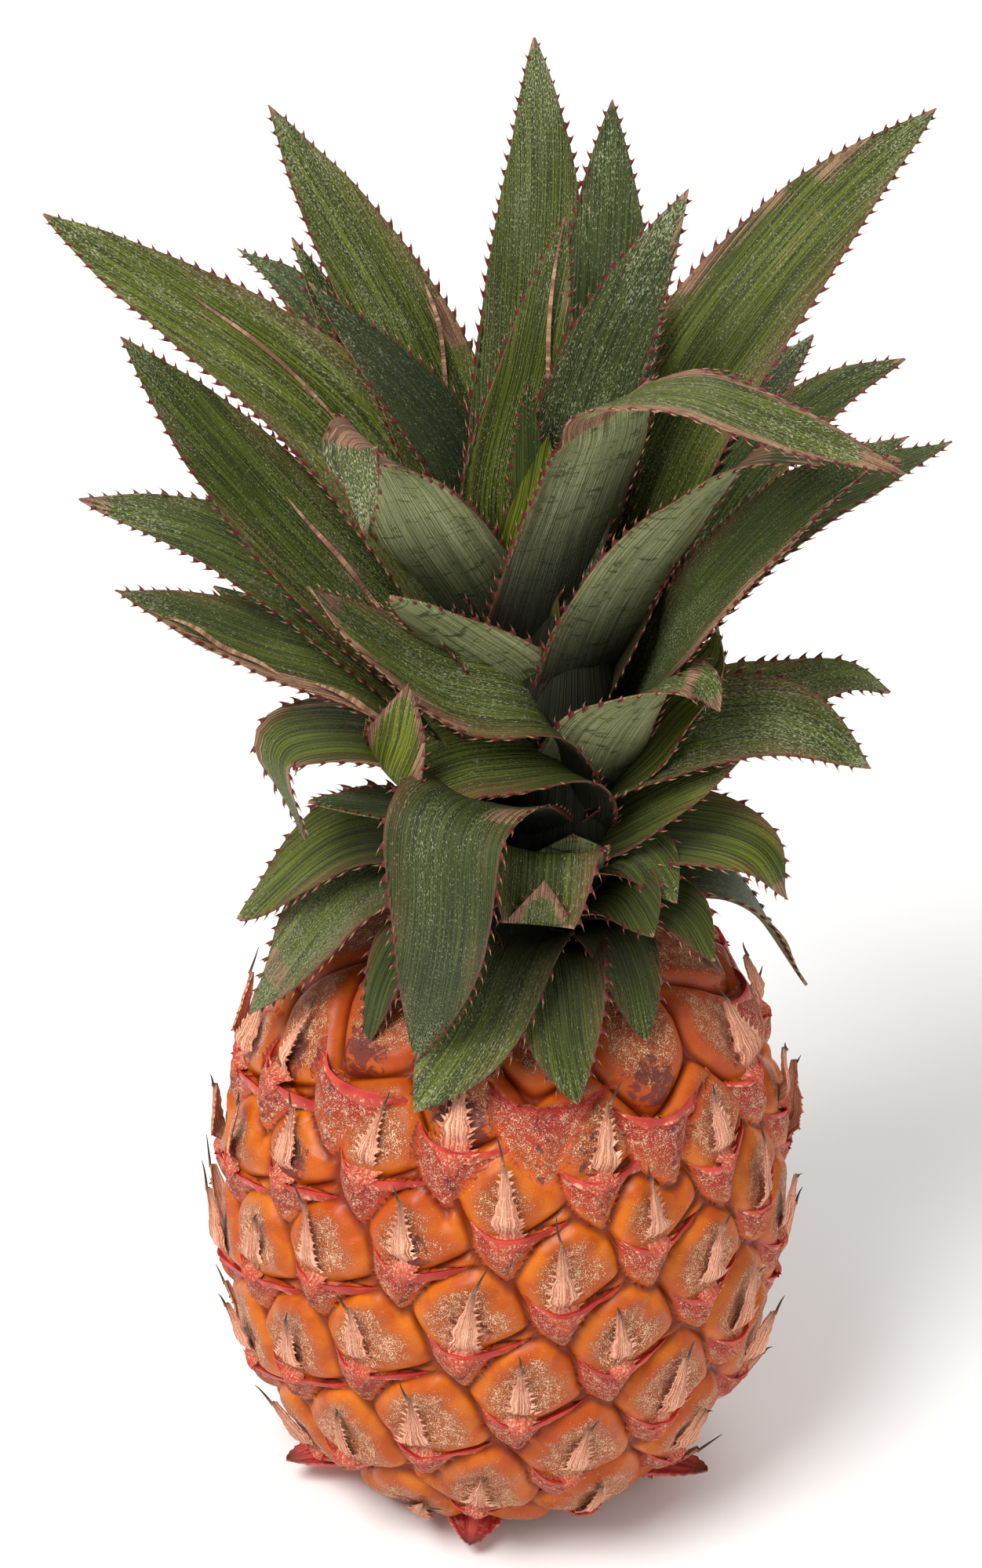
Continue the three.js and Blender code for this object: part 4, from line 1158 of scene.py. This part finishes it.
# %% [markdown]
# ## The run of a leaf
# A leaf clasps the stem, stands up and bends over, and it may turn and twist on its way. `Blade`
# keeps its midline as a curve of many short steps. Asked for any share of the length, it answers
# with a frame: the spot, the directions along, across and out of the upper face, the half width
# and the radius of the channel, which opens out towards the tip.

# %% The run of a leaf
BLADE_ROLL, BLADE_UNROLL, BLADE_TAPER, BLADE_CLASP, CLASP_FADE = 8.0, 0.45, 3.6, 0.3, 10.0
BLADE_STEPS = 600


class Blade:
    """The frames of one leaf: midline, directions and width at any share of its length."""

    def __init__(self, leaf):
        azimuth, turn, path, self.width, self.twist = leaf[1:]
        self.angle, self.turn = math.radians(azimuth), math.radians(turn)
        outward = np.array([math.cos(self.angle), math.sin(self.angle), 0])
        sideways = np.array([-math.sin(self.angle), math.cos(self.angle), 0])
        local = spline(path, BLADE_STEPS)
        self.line = local[:, :1] * outward + local[:, 2:] * sideways + local[:, 1:2] * np.array([0, 0, 1])
        walked = np.append(0, np.cumsum(np.linalg.norm(np.diff(self.line, axis=0), axis=1)))
        self.length, self.shares = walked[-1], walked / walked[-1]
        self.tangents = unit(np.gradient(self.line, walked, axis=0))

    def read(self, table, s):
        return np.stack([np.interp(s, self.shares, table[:, i]) for i in range(3)], -1)

    def at(self, s):
        """Midline point, direction along, direction across, upper side, half width and channel radius."""
        s = np.asarray(s, float)
        point, along = self.read(self.line, s), unit(self.read(self.tangents, s))
        half, late = smooth(s / 0.5), smooth((s - 0.5) / 0.5)
        heading = self.angle + self.turn * half
        across = np.stack([-np.sin(heading), np.cos(heading), 0 * heading], -1)
        across = unit(across - (across * along).sum(-1, keepdims=True) * along)
        face = np.cross(along, across)
        roll = np.radians(self.twist[0] * half + (self.twist[1] - self.twist[0]) * late)[..., None]
        straight_on, aside = np.cos(roll), np.sin(roll)
        across, face = straight_on * across + aside * face, straight_on * face - aside * across
        walked = s * self.length
        clasp = 1 + BLADE_CLASP * np.exp(-walked / CLASP_FADE)
        reach = self.width / 2 * (1 - s**BLADE_TAPER) * clasp
        return point, along, across, face, reach, BLADE_ROLL + BLADE_UNROLL * walked


def crown_to_fruit(points):
    """From the crown's own leaning frame to the fruit's."""
    x, y, z = np.moveaxis(np.asarray(points, float), -1, 0)
    c, s = math.cos(CROWN_LEAN), math.sin(CROWN_LEAN)
    return np.stack([x * c + z * s + CROWN_X, y, z * c - x * s + CROWN_Z], -1)


print("longest leaf:", round(max(Blade(leaf).length for leaf in all_leaves)), "mm")

# %% [markdown]
# ## The blade's surface
# The blade is thick in the middle and thin at the margins, which are a little wavy. A cross-section
# goes over the upper face and back under the lower one, and is swept along the leaf. Each point
# gets numbers for the paint: where it is along and across, which face it is on, and how dry it is.

# %% The blade's surface
BLADE_MIDDLE, BLADE_EDGE, TIP_THINNING = 1.1, 0.34, 0.55
ROW_STEP, LEAST_ROWS, BLADE_COLUMNS = 1.1, 24, 13
LAST_ROWS = [0.9925, 0.997]
TURN_SOFT, PATCH_ENDS_SOFT, PATCH_SIDES_SOFT = 0.04, 0.025, 0.25
AGEING = ("tone", "bloom", "rust", "grey")
SEED_STEP = 0.37


def blade_rings(blade, s, v, phase):
    """Cross-sections at the shares s of the length, each over the shares v of the width and back."""
    point, _, across, face, reach, roll = blade.at(s)
    across, face, reach, roll = across[:, None], face[:, None], reach[:, None], roll[:, None]
    walked = (s * blade.length)[:, None]
    wave = 0.28 * np.sin(walked / 7.5 + phase[0]) + 0.14 * np.sin(walked / 3.1 + phase[1])
    fine = 0.12 * np.sin(walked / 1.9 + phase[2])
    ribbed = 0.1 * np.sin(v * 8 + phase[3]) * (1 - s)[:, None]
    bend = reach * v / roll
    lift = roll * (1 - np.cos(bend)) + wave * v**2 * np.sign(v) + fine * v**4 + ribbed
    middle = point[:, None] + (roll * np.sin(bend))[..., None] * across + lift[..., None] * face
    thick = BLADE_EDGE + (BLADE_MIDDLE - BLADE_EDGE) * (1 - np.abs(v) ** 1.7)
    half = (thick * (1 - TIP_THINNING * s**2)[:, None] / 2)[..., None] * face
    return np.concatenate([middle + half, (middle - half)[:, ::-1]], 1), reach


def ageing(look, number):
    """The numbers that are the same all over a leaf."""
    return dict(seed=number * SEED_STEP, **{key: look.get(key, 0.5) for key in AGEING})


def withering(look, s, v):
    """How dry a leaf is: along and across its patches, and at its tip."""
    dry = np.broadcast_to(look.get("tip", 0.5) * smooth((s - 0.965) / 0.03)[:, None], (len(s), len(v)))
    for low, high, left, right, amount in look.get("dry", ()):
        along = smooth((s - low) / PATCH_ENDS_SOFT) * smooth((high - s) / PATCH_ENDS_SOFT)
        across = smooth((v - left) / PATCH_SIDES_SOFT + 0.5) * smooth((right - v) / PATCH_SIDES_SOFT + 0.5)
        dry = np.maximum(dry, amount * along[:, None] * across)
    return dry


def add_surface(shape, blade, number, look, phase):
    """The blade as one closed skin, with its numbers for the paint."""
    rows = max(LEAST_ROWS, int(blade.length / ROW_STEP))
    s = np.append(np.linspace(0, 0.985, rows), LAST_ROWS)
    even = np.linspace(-1, 1, BLADE_COLUMNS)
    v = np.sin(even * math.pi / 2) * 0.4 + even * 0.6
    rings, reach = blade_rings(blade, s, v, phase)
    around = np.concatenate([v, v[::-1]])
    lower = np.repeat([0.0, 1.0], BLADE_COLUMNS)
    turned = smooth((s - look.get("turned", 2)) / TURN_SOFT)[:, None]
    marks = ageing(look, number)
    marks["tone"] = marks["tone"] + look.get("fresh", 0) * turned
    marks.update(share=s[:, None], run=(s * blade.length)[:, None])
    marks.update(across=around[None], offset=reach * around)
    marks.update(under=lower * (1 - turned), dry=withering(look, s, around), spine=0.0)
    marks = {key: value[:, ::-1] if np.ndim(value) == 2 else value for key, value in marks.items()}
    shape.loft(crown_to_fruit(rings[:, ::-1]), **marks)


print("a blade is", BLADE_COLUMNS, "points wide on each face, with a row every", ROW_STEP, "mm")

# %% [markdown]
# ## Spines
# Both edges carry hooked prickles that lean to the leaf's tip, wide apart in the middle and smaller
# and closer at the end. They are real spikes and not a picture, because they break the outline of
# every leaf. Each is three four-cornered rings, from a broad foot to a point.

# %% Spines
SPINE_BARE, SPINE_LENGTH, SPINE_FOOT, SPINE_SUNK = 9.0, 1.3, 0.9, 0.3
SPINE_RINGS = [  # height, width and thickness of each ring, and its number for the paint
    (0, 1, 0.24, 0.15),
    (0.36, 0.52, 0.2, 0.45),
    (0.7, 0.24, 0.13, 0.8),
]


def spine_places(blade, draw):
    """Share of the length and size of each spine along one edge."""
    places, walked = [], SPINE_BARE + draw.uniform(0, 2)
    while walked < blade.length - 1.5:
        s = walked / blade.length
        size = (0.62 + 0.38 * min(1, (1 - s) / 0.35)) * draw.uniform(0.85, 1.12) * min(1, 0.5 + walked / 40)
        places.append((s, size))
        walked += (0.9 + 1.5 * size) * draw.uniform(0.86, 1.14)
    return places


def add_spine(shape, blade, s, sign, size, number, look):
    """A hooked prickle: a broad foot along the margin, a curved point that leans to the leaf's tip."""
    length, foot = SPINE_LENGTH * size, SPINE_FOOT * size
    point, along, across, face, reach, roll = blade.at(s)
    bend = sign * reach / roll
    out = sign * (math.cos(bend) * across + math.sin(bend) * face)
    up = np.cross(along, out) * sign
    root = point + roll * math.sin(bend) * across + roll * (1 - math.cos(bend)) * face - out * SPINE_SUNK
    rings = []
    for h, share, thick, _ in SPINE_RINGS:
        middle = root + out * (length * h * (1.3 - 0.3 * h)) + along * (length * (0.1 * h + 1.25 * h * h))
        half = along * (foot * share)
        rings.append([middle - half, middle + up * thick, middle + half, middle - up * thick][::-sign])
    tip = root + out * length + along * length * 1.45
    shape.loft(
        crown_to_fruit(rings), tip=crown_to_fruit(tip), spine=np.array(SPINE_RINGS)[:, 3:],
        run=s * blade.length, offset=sign * reach, across=float(sign), share=s, under=0.0, dry=0.0,
        **ageing(look, number),
    )


print("a spine stands out", SPINE_LENGTH, "mm in the middle of a leaf")

# %% [markdown]
# ## Torn strips, and a whole leaf
# A few leaves are torn: a dried strip of skin has curled up off the upper face. It is a thin band
# along a path of its own, a little clear of the blade. `add_leaf` then puts a leaf together.

# %% Torn strips and whole leaves
STRIP_ROWS, STRIP_CLEAR = 40, 0.5
LEAF_SEED = 1000


def add_strip(shape, blade, path, wide, number, look):
    """A torn, dried strip; path is its places as (along, across), in shares of the leaf."""
    way = spline(path, STRIP_ROWS)
    s, v = np.clip(way[:, 0], 0, 0.99), way[:, 1]
    point, _, across, face, reach, roll = blade.at(s)
    roll = roll[:, None]
    bend = (reach * v)[:, None] / roll
    fit = np.sin(np.linspace(0, math.pi, STRIP_ROWS))[:, None] ** 0.6
    curl = 1 + np.sin(np.linspace(0, 9, STRIP_ROWS) + number)[:, None]
    lift = roll * (1 - np.cos(bend)) + STRIP_CLEAR * (1 + fit * curl)
    middle = point + roll * np.sin(bend) * across + lift * face
    aside = unit(np.cross(face, unit(np.gradient(middle, axis=0)))) * (wide / 2 * fit + 0.05)
    rings = [middle + aside + face * 0.35 * fit, middle - face * 0.1, middle - aside, middle + face * 0.12]
    shape.loft(
        crown_to_fruit(np.stack(rings, 1)[:, ::-1]), share=s[:, None], run=(s * blade.length)[:, None],
        across=0.0, offset=(reach * v)[:, None], under=0.0, spine=0.0, dry=0.95, **ageing(look, number),
    )


def add_leaf(shape, leaf, number, look, spines=True):
    """One leaf with its spines and strips; its random draws depend on its number alone."""
    blade = Blade(leaf)
    draw = np.random.default_rng(LEAF_SEED + number)
    edges = [spine_places(blade, draw) if spines else [] for _ in range(2)]
    add_surface(shape, blade, number, look, draw.uniform(0, 6.3, 4))
    for sign, places in zip((-1, 1), edges):
        for s, size in places:
            add_spine(shape, blade, s, sign, size, number, look)
    for wide, path in look.get("strips", ()):
        add_strip(shape, blade, path, wide, number, look)


trial = Shape()
add_leaf(trial, LEAVES[0], 0, {})
print("the tallest leaf takes", trial.count, "points")

# %% [markdown]
# ## Leaf finish: the upper face
# The upper face is green with fine dark lines along it and a pale powder that sits in specks. Towards
# the base it is painted nearly black, as painted shade deep in the crown. One material serves every
# leaf: how yellow, powdery or grey a leaf is comes from the numbers on its points. Separate paints
# would drift apart and take more room.

# %% Leaf material: the upper face
leaf_finish, tree, shader = new_material("powdery_leaf", 0.62)
places = ("run", "offset", "across", "share", "under", "spine", "dry", "seed")
run, offset, across, share, under, spine, dry, seed = (mark(tree, name) for name in places)
tone, bloom, rust, grey = (mark(tree, name) for name in AGEING)
lines = use(tree, fibres, Along=run, Across=offset, Seed=seed, Pitch=0.18)
line = fade(tree, lines["Line"], 0.42, 0.6)
long_run = sums(tree, "MULTIPLY", run, 0.3)
flat = node(tree, "CombineXYZ", {"X": offset, "Y": long_run, "Z": seed}).outputs[0]
patchy = {"Vector": flat, "Scale": 0.13, "Detail": 3.0, "Roughness": 0.6}
patches = node(tree, "TexNoise", patchy).outputs["Fac"]

green = blend(tree, tone, paint(32, 50, 18), paint(112, 122, 26))
lighter = blend(tree, tone, paint(46, 66, 26), paint(122, 130, 42))
green = blend(tree, fade(tree, patches, 0.4, 0.7), green, lighter)
upper = blend(tree, line, blend(tree, 0.74, green, paint(12, 18, 8)), green)
upper = tint(tree, grey, 0.5, upper, paint(52, 58, 48))
powder_cover = sums(tree, "MULTIPLY_ADD", bloom, 0.36, fade(tree, patches, 0.35, 0.7, 0.1, 0.24))
powder_cover = sums(tree, "ADD", powder_cover, fade(tree, share, 0.75, 1.0, 0.0, 0.12))
powder = use(tree, mealy, Vector=flat, Scale=7.5, Cover=powder_cover, Clumps=0.1)
upper = tint(tree, powder["Mask"], 0.62, upper, paint(184, 188, 148))
# painted shade: from 34 mm down to the base the blade darkens to nearly black, as shade deep in the crown
upper = tint(tree, fade(tree, run, 34.0, 6.0), 0.85, upper, paint(24, 21, 19))
print("leaf finish reads", len(places) + len(AGEING), "numbers from each point")

# %% [markdown]
# ## Leaf finish: the under face
# The under face is paler, grey-olive, with closer lines, and short dark marks where the powder is
# rubbed off. Its lower half is painted nearly black: partly its own darker base, mostly painted shade
# between the crowded leaves. A second pair of paints is mixed for it, and the number `under` says
# which of the two a spot shows.

# %% Leaf material: the under face
close_lines = use(tree, fibres, Along=run, Across=offset, Seed=seed, Pitch=0.13)
close_line = fade(tree, close_lines["Line"], 0.4, 0.6, 0.0, 0.8)
pale = blend(tree, close_line, paint(114, 120, 80), paint(202, 206, 152))
pale = blend(tree, fade(tree, patches, 0.3, 0.7), pale, blend(tree, 0.4, pale, paint(108, 118, 66)))
short_run = sums(tree, "MULTIPLY", run, 2.6)
rubbed_at = node(tree, "CombineXYZ", {"X": offset, "Y": short_run, "Z": seed}).outputs[0]
rubbed = use(tree, blotches, Vector=rubbed_at, Scale=0.28, Cover=0.38)
pale = tint(tree, rubbed["Mask"], 0.75, pale, paint(40, 60, 16))
# painted shade: below about 65 % of the length the under face darkens to nearly black, partly its own darker
# base and mostly shade between the leaves
pale = tint(tree, fade(tree, share, 0.65, 0.25), 0.96, pale, paint(18, 18, 16))
colour = blend(tree, under, upper, pale)
print("both faces take", len(tree.nodes), "nodes")

# %% [markdown]
# ## Leaf finish: margins, spines and dry parts
# Margins are rusty, spines are maroon with a straw point, and dry parts are straw with brown
# streaks. A withered part has a ragged edge, so its number is broken up with the noise before it
# becomes a mask. The lines and the powder also raise the surface a little.

# %% Leaf material: margins, spines and dry parts
from_middle = sums(tree, "ABSOLUTE", across)
margin = sums(tree, "MULTIPLY", fade(tree, from_middle, 0.93, 1.0), rust)
margin = sums(tree, "MULTIPLY", margin, fade(tree, under, 0.0, 1.0, 1.0, 0.45))
blush = sums(tree, "MULTIPLY", fade(tree, from_middle, 0.45, 1.0), fade(tree, patches, 0.42, 0.62))
blush = sums(tree, "MULTIPLY", blush, sums(tree, "MULTIPLY", rust, 0.5))
blush = sums(tree, "MULTIPLY", blush, fade(tree, under, 0.0, 1.0, 1.0, 0.3))
colour = blend(tree, blush, colour, paint(118, 76, 52))
colour = tint(tree, margin, 0.7, colour, paint(120, 72, 58))
straw = blend(tree, line, paint(120, 84, 62), paint(166, 130, 102))
streaks = use(tree, blotches, Vector=flat, Scale=0.9, Cover=0.42)
straw = tint(tree, streaks["Mask"], 0.6, straw, paint(104, 72, 66))
wide_rags = sums(tree, "MULTIPLY_ADD", patches, 0.8, -0.4)
fine_rags = sums(tree, "MULTIPLY_ADD", lines["Line"], 0.9, -0.45)
ragged = sums(tree, "ADD", wide_rags, fine_rags)
withered = fade(tree, sums(tree, "ADD", dry, ragged), 0.32, 0.56)
colour = blend(tree, withered, colour, straw)
hook = blend(tree, fade(tree, spine, 0.6, 1.0), paint(88, 34, 34), paint(206, 168, 124))
colour = blend(tree, fade(tree, spine, 0.1, 0.42), colour, hook)
ridges = sums(tree, "MULTIPLY_ADD", lines["Line"], 1.0, sums(tree, "MULTIPLY", powder["Mask"], 0.25))
gloss = fade(tree, powder["Mask"], 0.0, 1.0, 0.5, 0.72)
connect(tree, shader, colour, gloss, ridges, 0.00038)
shader.inputs["Specular IOR Level"].default_value = 0.18
print("the whole leaf finish takes", len(tree.nodes), "nodes")

# %% [markdown]
# ## How each leaf looks
# Leaves age differently: some are yellower, some greyer, some have more powder, and several have
# dry folds, torn strips or withered points. These are noted leaf by leaf; the rest vary by chance.
# A dry patch is (from, to) along the leaf, (from, to) across it, and how withered it is. `turned` is
# where a tip folds over and shows its green side, and `fresh` is how much yellower it is there.

# %% Leaf looks
ALL = (-1.3, 1.3)  # from beyond one margin to beyond the other
LOOKS = {
    "tallest": dict(tone=0.5, bloom=0.85, grey=0.05, rust=0.3),
    "tall_back": dict(tone=0.25, bloom=0.6, grey=0.3, rust=0.3),
    "torn_back": dict(
        tone=0.5, bloom=0.65, rust=0.7, dry=[(0.42, 0.9, -1.3, -0.55, 0.4)],
        strips=[(0.5, [(0.98, 0.3), (0.82, -0.1), (0.66, -0.5), (0.5, -0.75), (0.34, -0.7)])],
    ),
    "heart_right": dict(tone=0.3, bloom=0.85, grey=0.6, rust=0.4, dry=[(0.86, 0.97, -1.3, -0.5, 0.5)]),
    "tall_right": dict(
        tone=0.55, bloom=0.75, grey=0.05, rust=0.7,
        dry=[(0.58, 0.8, 0.7, 1.3, 0.55), (0.8, 0.93, 0.3, 1.3, 0.42), (0.5, 0.9, 0.0, 0.12, 0.5)],
    ),
    "tall_left": dict(
        tone=0.58, bloom=0.85, grey=0.0, rust=0.7, dry=[(0.56, 0.66, -1.3, -0.6, 0.6)],
        strips=[(0.4, [(0.68, -0.85), (0.62, -0.6), (0.54, -0.3), (0.47, 0.05)])],
    ),
    "dark_left": dict(tone=0.15, bloom=0.6, grey=0.6, rust=0.3),
    "far_left": dict(
        tone=0.66, bloom=0.85, grey=0.0, rust=0.6,
        dry=[(0.55, 0.78, -0.12, 0.02, 0.62), (0.3, 0.5, 0.3, 0.45, 0.5)],
        strips=[(0.3, [(0.78, -0.25), (0.7, -0.1), (0.6, -0.05), (0.5, 0.1)])],
    ),
    "split_left": dict(
        tone=0.4, bloom=0.7, grey=0.0, rust=0.6, dry=[(0.42, 0.6, -0.25, -0.05, 0.5)],
        strips=[(0.5, [(0.62, -0.3), (0.52, -0.15), (0.42, -0.1), (0.33, 0.0)])],
    ),
    "behind_left": dict(tone=0.45, bloom=0.7, grey=0.3, tip=0.8),
    "front_tall": dict(
        tone=0.62, bloom=0.85, rust=0.9, grey=0.1,
        dry=[(0.585, 0.655, *ALL, 0.7), (0.66, 0.99, 0.72, 1.3, 0.65), (0.62, 0.99, -1.3, -0.78, 0.65),
             (0.66, 1.1, *ALL, 0.26), (0.93, 1.1, *ALL, 0.5)],
    ),
    "hanging_tip": dict(
        bloom=0.9, grey=0.9, rust=0.9, dry=[(0.76, 0.86, *ALL, 0.8), (0.97, 1.1, *ALL, 0.8)],
    ),
    "pale_right": dict(dry=[(0.74, 0.82, *ALL, 0.6), (0.8, 1.1, *ALL, 0.5)], rust=0.7),
    "rolled_right": dict(tone=0.35, bloom=0.65, grey=0.4, dry=[(0.3, 0.97, -1.4, -0.86, 0.6)]),
    "folded_left": dict(
        tone=0.6, bloom=0.7, grey=0.3, rust=0.9,
        dry=[(0.88, 1.1, *ALL, 0.55), (0.5, 0.98, 0.72, 1.3, 0.6), (0.2, 0.8, -1.3, -0.9, 0.5)],
    ),
    "pale_left": dict(rust=0.7, tip=0.9),
    "tip_up": dict(
        tone=0.45, fresh=0.6, turned=0.68, bloom=0.5, rust=1.0, grey=0.0,
        dry=[(0.62, 0.7, *ALL, 0.75), (0.7, 1.0, -1.3, -0.7, 0.6), (0.7, 1.0, 0.7, 1.3, 0.6),
             (0.94, 1.1, *ALL, 0.6)],
    ),
    "arching_right": dict(
        tone=0.45, bloom=0.7, rust=1.0, dry=[(0.84, 0.9, *ALL, 0.6), (0.93, 1.1, *ALL, 0.5)],
    ),
    "front_big": dict(tone=0.28, bloom=0.6, grey=0.5, rust=0.7, dry=[(0.36, 0.46, 0.4, 1.3, 0.42)]),
    "front_tucked": dict(
        tone=0.45, fresh=0.25, turned=0.78, bloom=0.6, grey=0.3, rust=1.0,
        dry=[(0.78, 1.1, -1.3, -0.6, 0.65), (0.78, 1.1, 0.6, 1.3, 0.65), (0.92, 1.1, *ALL, 0.7)],
    ),
    "recurved": dict(
        tone=0.6, bloom=0.4, grey=0.3, rust=1.0,
        dry=[(0.4, 0.95, -1.3, -0.7, 0.5), (0.3, 0.95, 0.75, 1.3, 0.5), (0.42, 0.62, -0.4, -0.2, 0.4)],
    ),
    "brown_tip": dict(tone=0.45, bloom=0.7, tip=1.0, dry=[(0.93, 1.1, *ALL, 0.5)]),
    "torn": dict(
        tone=0.55, bloom=0.6, tip=1.0, rust=0.8, dry=[(0.5, 0.95, 0.7, 1.3, 0.6), (0.2, 0.6, 0.8, 1.3, 0.5)],
        strips=[(0.8, [(0.62, 0.75), (0.54, 0.95), (0.45, 0.9), (0.36, 0.7)]),
                (0.5, [(0.9, 0.7), (0.8, 0.8), (0.68, 0.85)])],
    ),
    "wide_left": dict(tone=0.7, bloom=0.95, grey=0.1, rust=1.0, dry=[(0.78, 0.9, *ALL, 0.42)]),
    "wide_right": dict(tone=0.55, bloom=0.85, grey=0.1, rust=0.8),
    "right_arch": dict(tone=0.7, bloom=0.4, grey=0.2, rust=1.0),
    "low_right": dict(tone=0.6, bloom=0.5, dry=[(0.9, 1.1, *ALL, 0.6)]),
    "right_curl": dict(tone=0.7, bloom=0.4, grey=0.0, rust=0.9, dry=[(0.9, 1.1, *ALL, 0.6)]),
    "green_right": dict(tone=0.85, bloom=0.3, grey=0.0),
    "olive": dict(tone=0.7, bloom=0.3, grey=0.1),
    "front_right": dict(tone=0.5, bloom=0.6, grey=0.2, rust=0.6),
    "small_dark": dict(tone=0.3, bloom=0.4, grey=0.2, rust=0.8),
}
print("looks noted for", len(LOOKS), "leaves")

# %% [markdown]
# ## All the leaves
# Every leaf is a piece of its own and takes the place of its own solid in the frame. What isn't
# noted in its look comes by chance, and the chances are drawn in the order of the table, so they
# come out the same each time.

# %% All the leaves
LOOK_SEED = 77
chances = np.random.default_rng(LOOK_SEED)
blades = []
for number, leaf in enumerate(all_leaves):
    yellow, powdery, rusty, greyish = chances.random(4)
    look = dict(tone=0.25 + 0.5 * yellow, bloom=0.35 + 0.5 * powdery, rust=0.3 + 0.6 * rusty)
    look.update(grey=0.45 * greyish, tip=0.7)
    look.update(LOOKS.get(leaf[0], {}))
    shape = Shape()
    add_leaf(shape, leaf, number, look)
    blades.append(shape.piece(f"blade_{leaf[0]}", leaf_finish, [f"leaf_{leaf[0]}"]))
print("blades:", len(blades), "faces:", sum(len(blade.data.polygons) for blade in blades))

# %% [markdown]
# ## The heart
# In the middle the short stem is wrapped in the broad dark bases of the leaves, one over the other,
# and the youngest leaves stand up from its tip. It is all one growth, so it is one piece. The
# sheaths and the young leaves are blades like the others, and only the stem is a plain turned form.

# %% Heart of the crown
STEM = [(11.6, -2.1), (12, 8), (11.6, 20), (10.4, 32), (8.6, 42), (6.2, 51), (3.6, 58), (0.4, 64)]
STEM_SIDES, STEM_ROWS = 48, 40
SHEATHS = [(350, -2), (28, 4), (64, 9), (108, 7), (150, 5), (196, 0), (288, 2)]
SHEATH_LENGTH, SHEATH_LIFT, SHEATH_FLARE, SHEATH_WIDTH = 21, 0.4, 2.2, 19
SHEATH_LOOK = dict(tone=0.4, bloom=0.5, rust=0.8, grey=0.4, tip=0.9)
HEART_AGES = [(0.0, 0.8, 1.0), (0.3, 0.4, 0.3), (0.6, 0.0, 0.0)]  # tone, bloom and grey
SHEATH_NUMBERS, HEART_NUMBERS = 200, 300

heart = Shape()
profile_r, profile_z = np.array(STEM).T
stem_z = np.linspace(profile_z[0], profile_z[-1], STEM_ROWS)[:, None]
stem_r = np.interp(stem_z, profile_z, profile_r)
turn = np.linspace(0, 2 * math.pi, STEM_SIDES, endpoint=False)
rings = np.stack([stem_r * np.cos(turn), stem_r * np.sin(turn), stem_z + 0 * turn], -1)
# the stem takes under-face numbers with share 0.1, so the leaf paint covers it with the near-black painted
# shade of the crown's middle
heart.loft(
    crown_to_fruit(rings), run=8.0, offset=(turn * 11)[None], across=0.0, share=0.1, under=1.0, spine=0.0,
    dry=0.1, tone=0.4, bloom=0.3, rust=0.3, grey=0.5, seed=3.0,
)
for number, (azimuth, low) in enumerate(SHEATHS):
    path = []
    for part in (0, 0.33, 0.67, 1):
        z = low + SHEATH_LENGTH * part
        path.append((float(np.interp(z, profile_z, profile_r)) + SHEATH_LIFT + SHEATH_FLARE * part**2, z))
    sheath = ("sheath", azimuth, 0, path, SHEATH_WIDTH, (0, 0))
    add_leaf(heart, sheath, SHEATH_NUMBERS + number, SHEATH_LOOK, spines=False)
for number, (leaf, (tone, bloom, grey)) in enumerate(zip(HEART_LEAVES, HEART_AGES)):
    look = dict(tone=tone, bloom=bloom, grey=grey, rust=0.3, turned=-1)
    add_leaf(heart, leaf, HEART_NUMBERS + number, look)
crown_heart = heart.piece("heart_of_crown", leaf_finish, ["crown_heart"])
print("heart faces:", len(crown_heart.data.polygons))
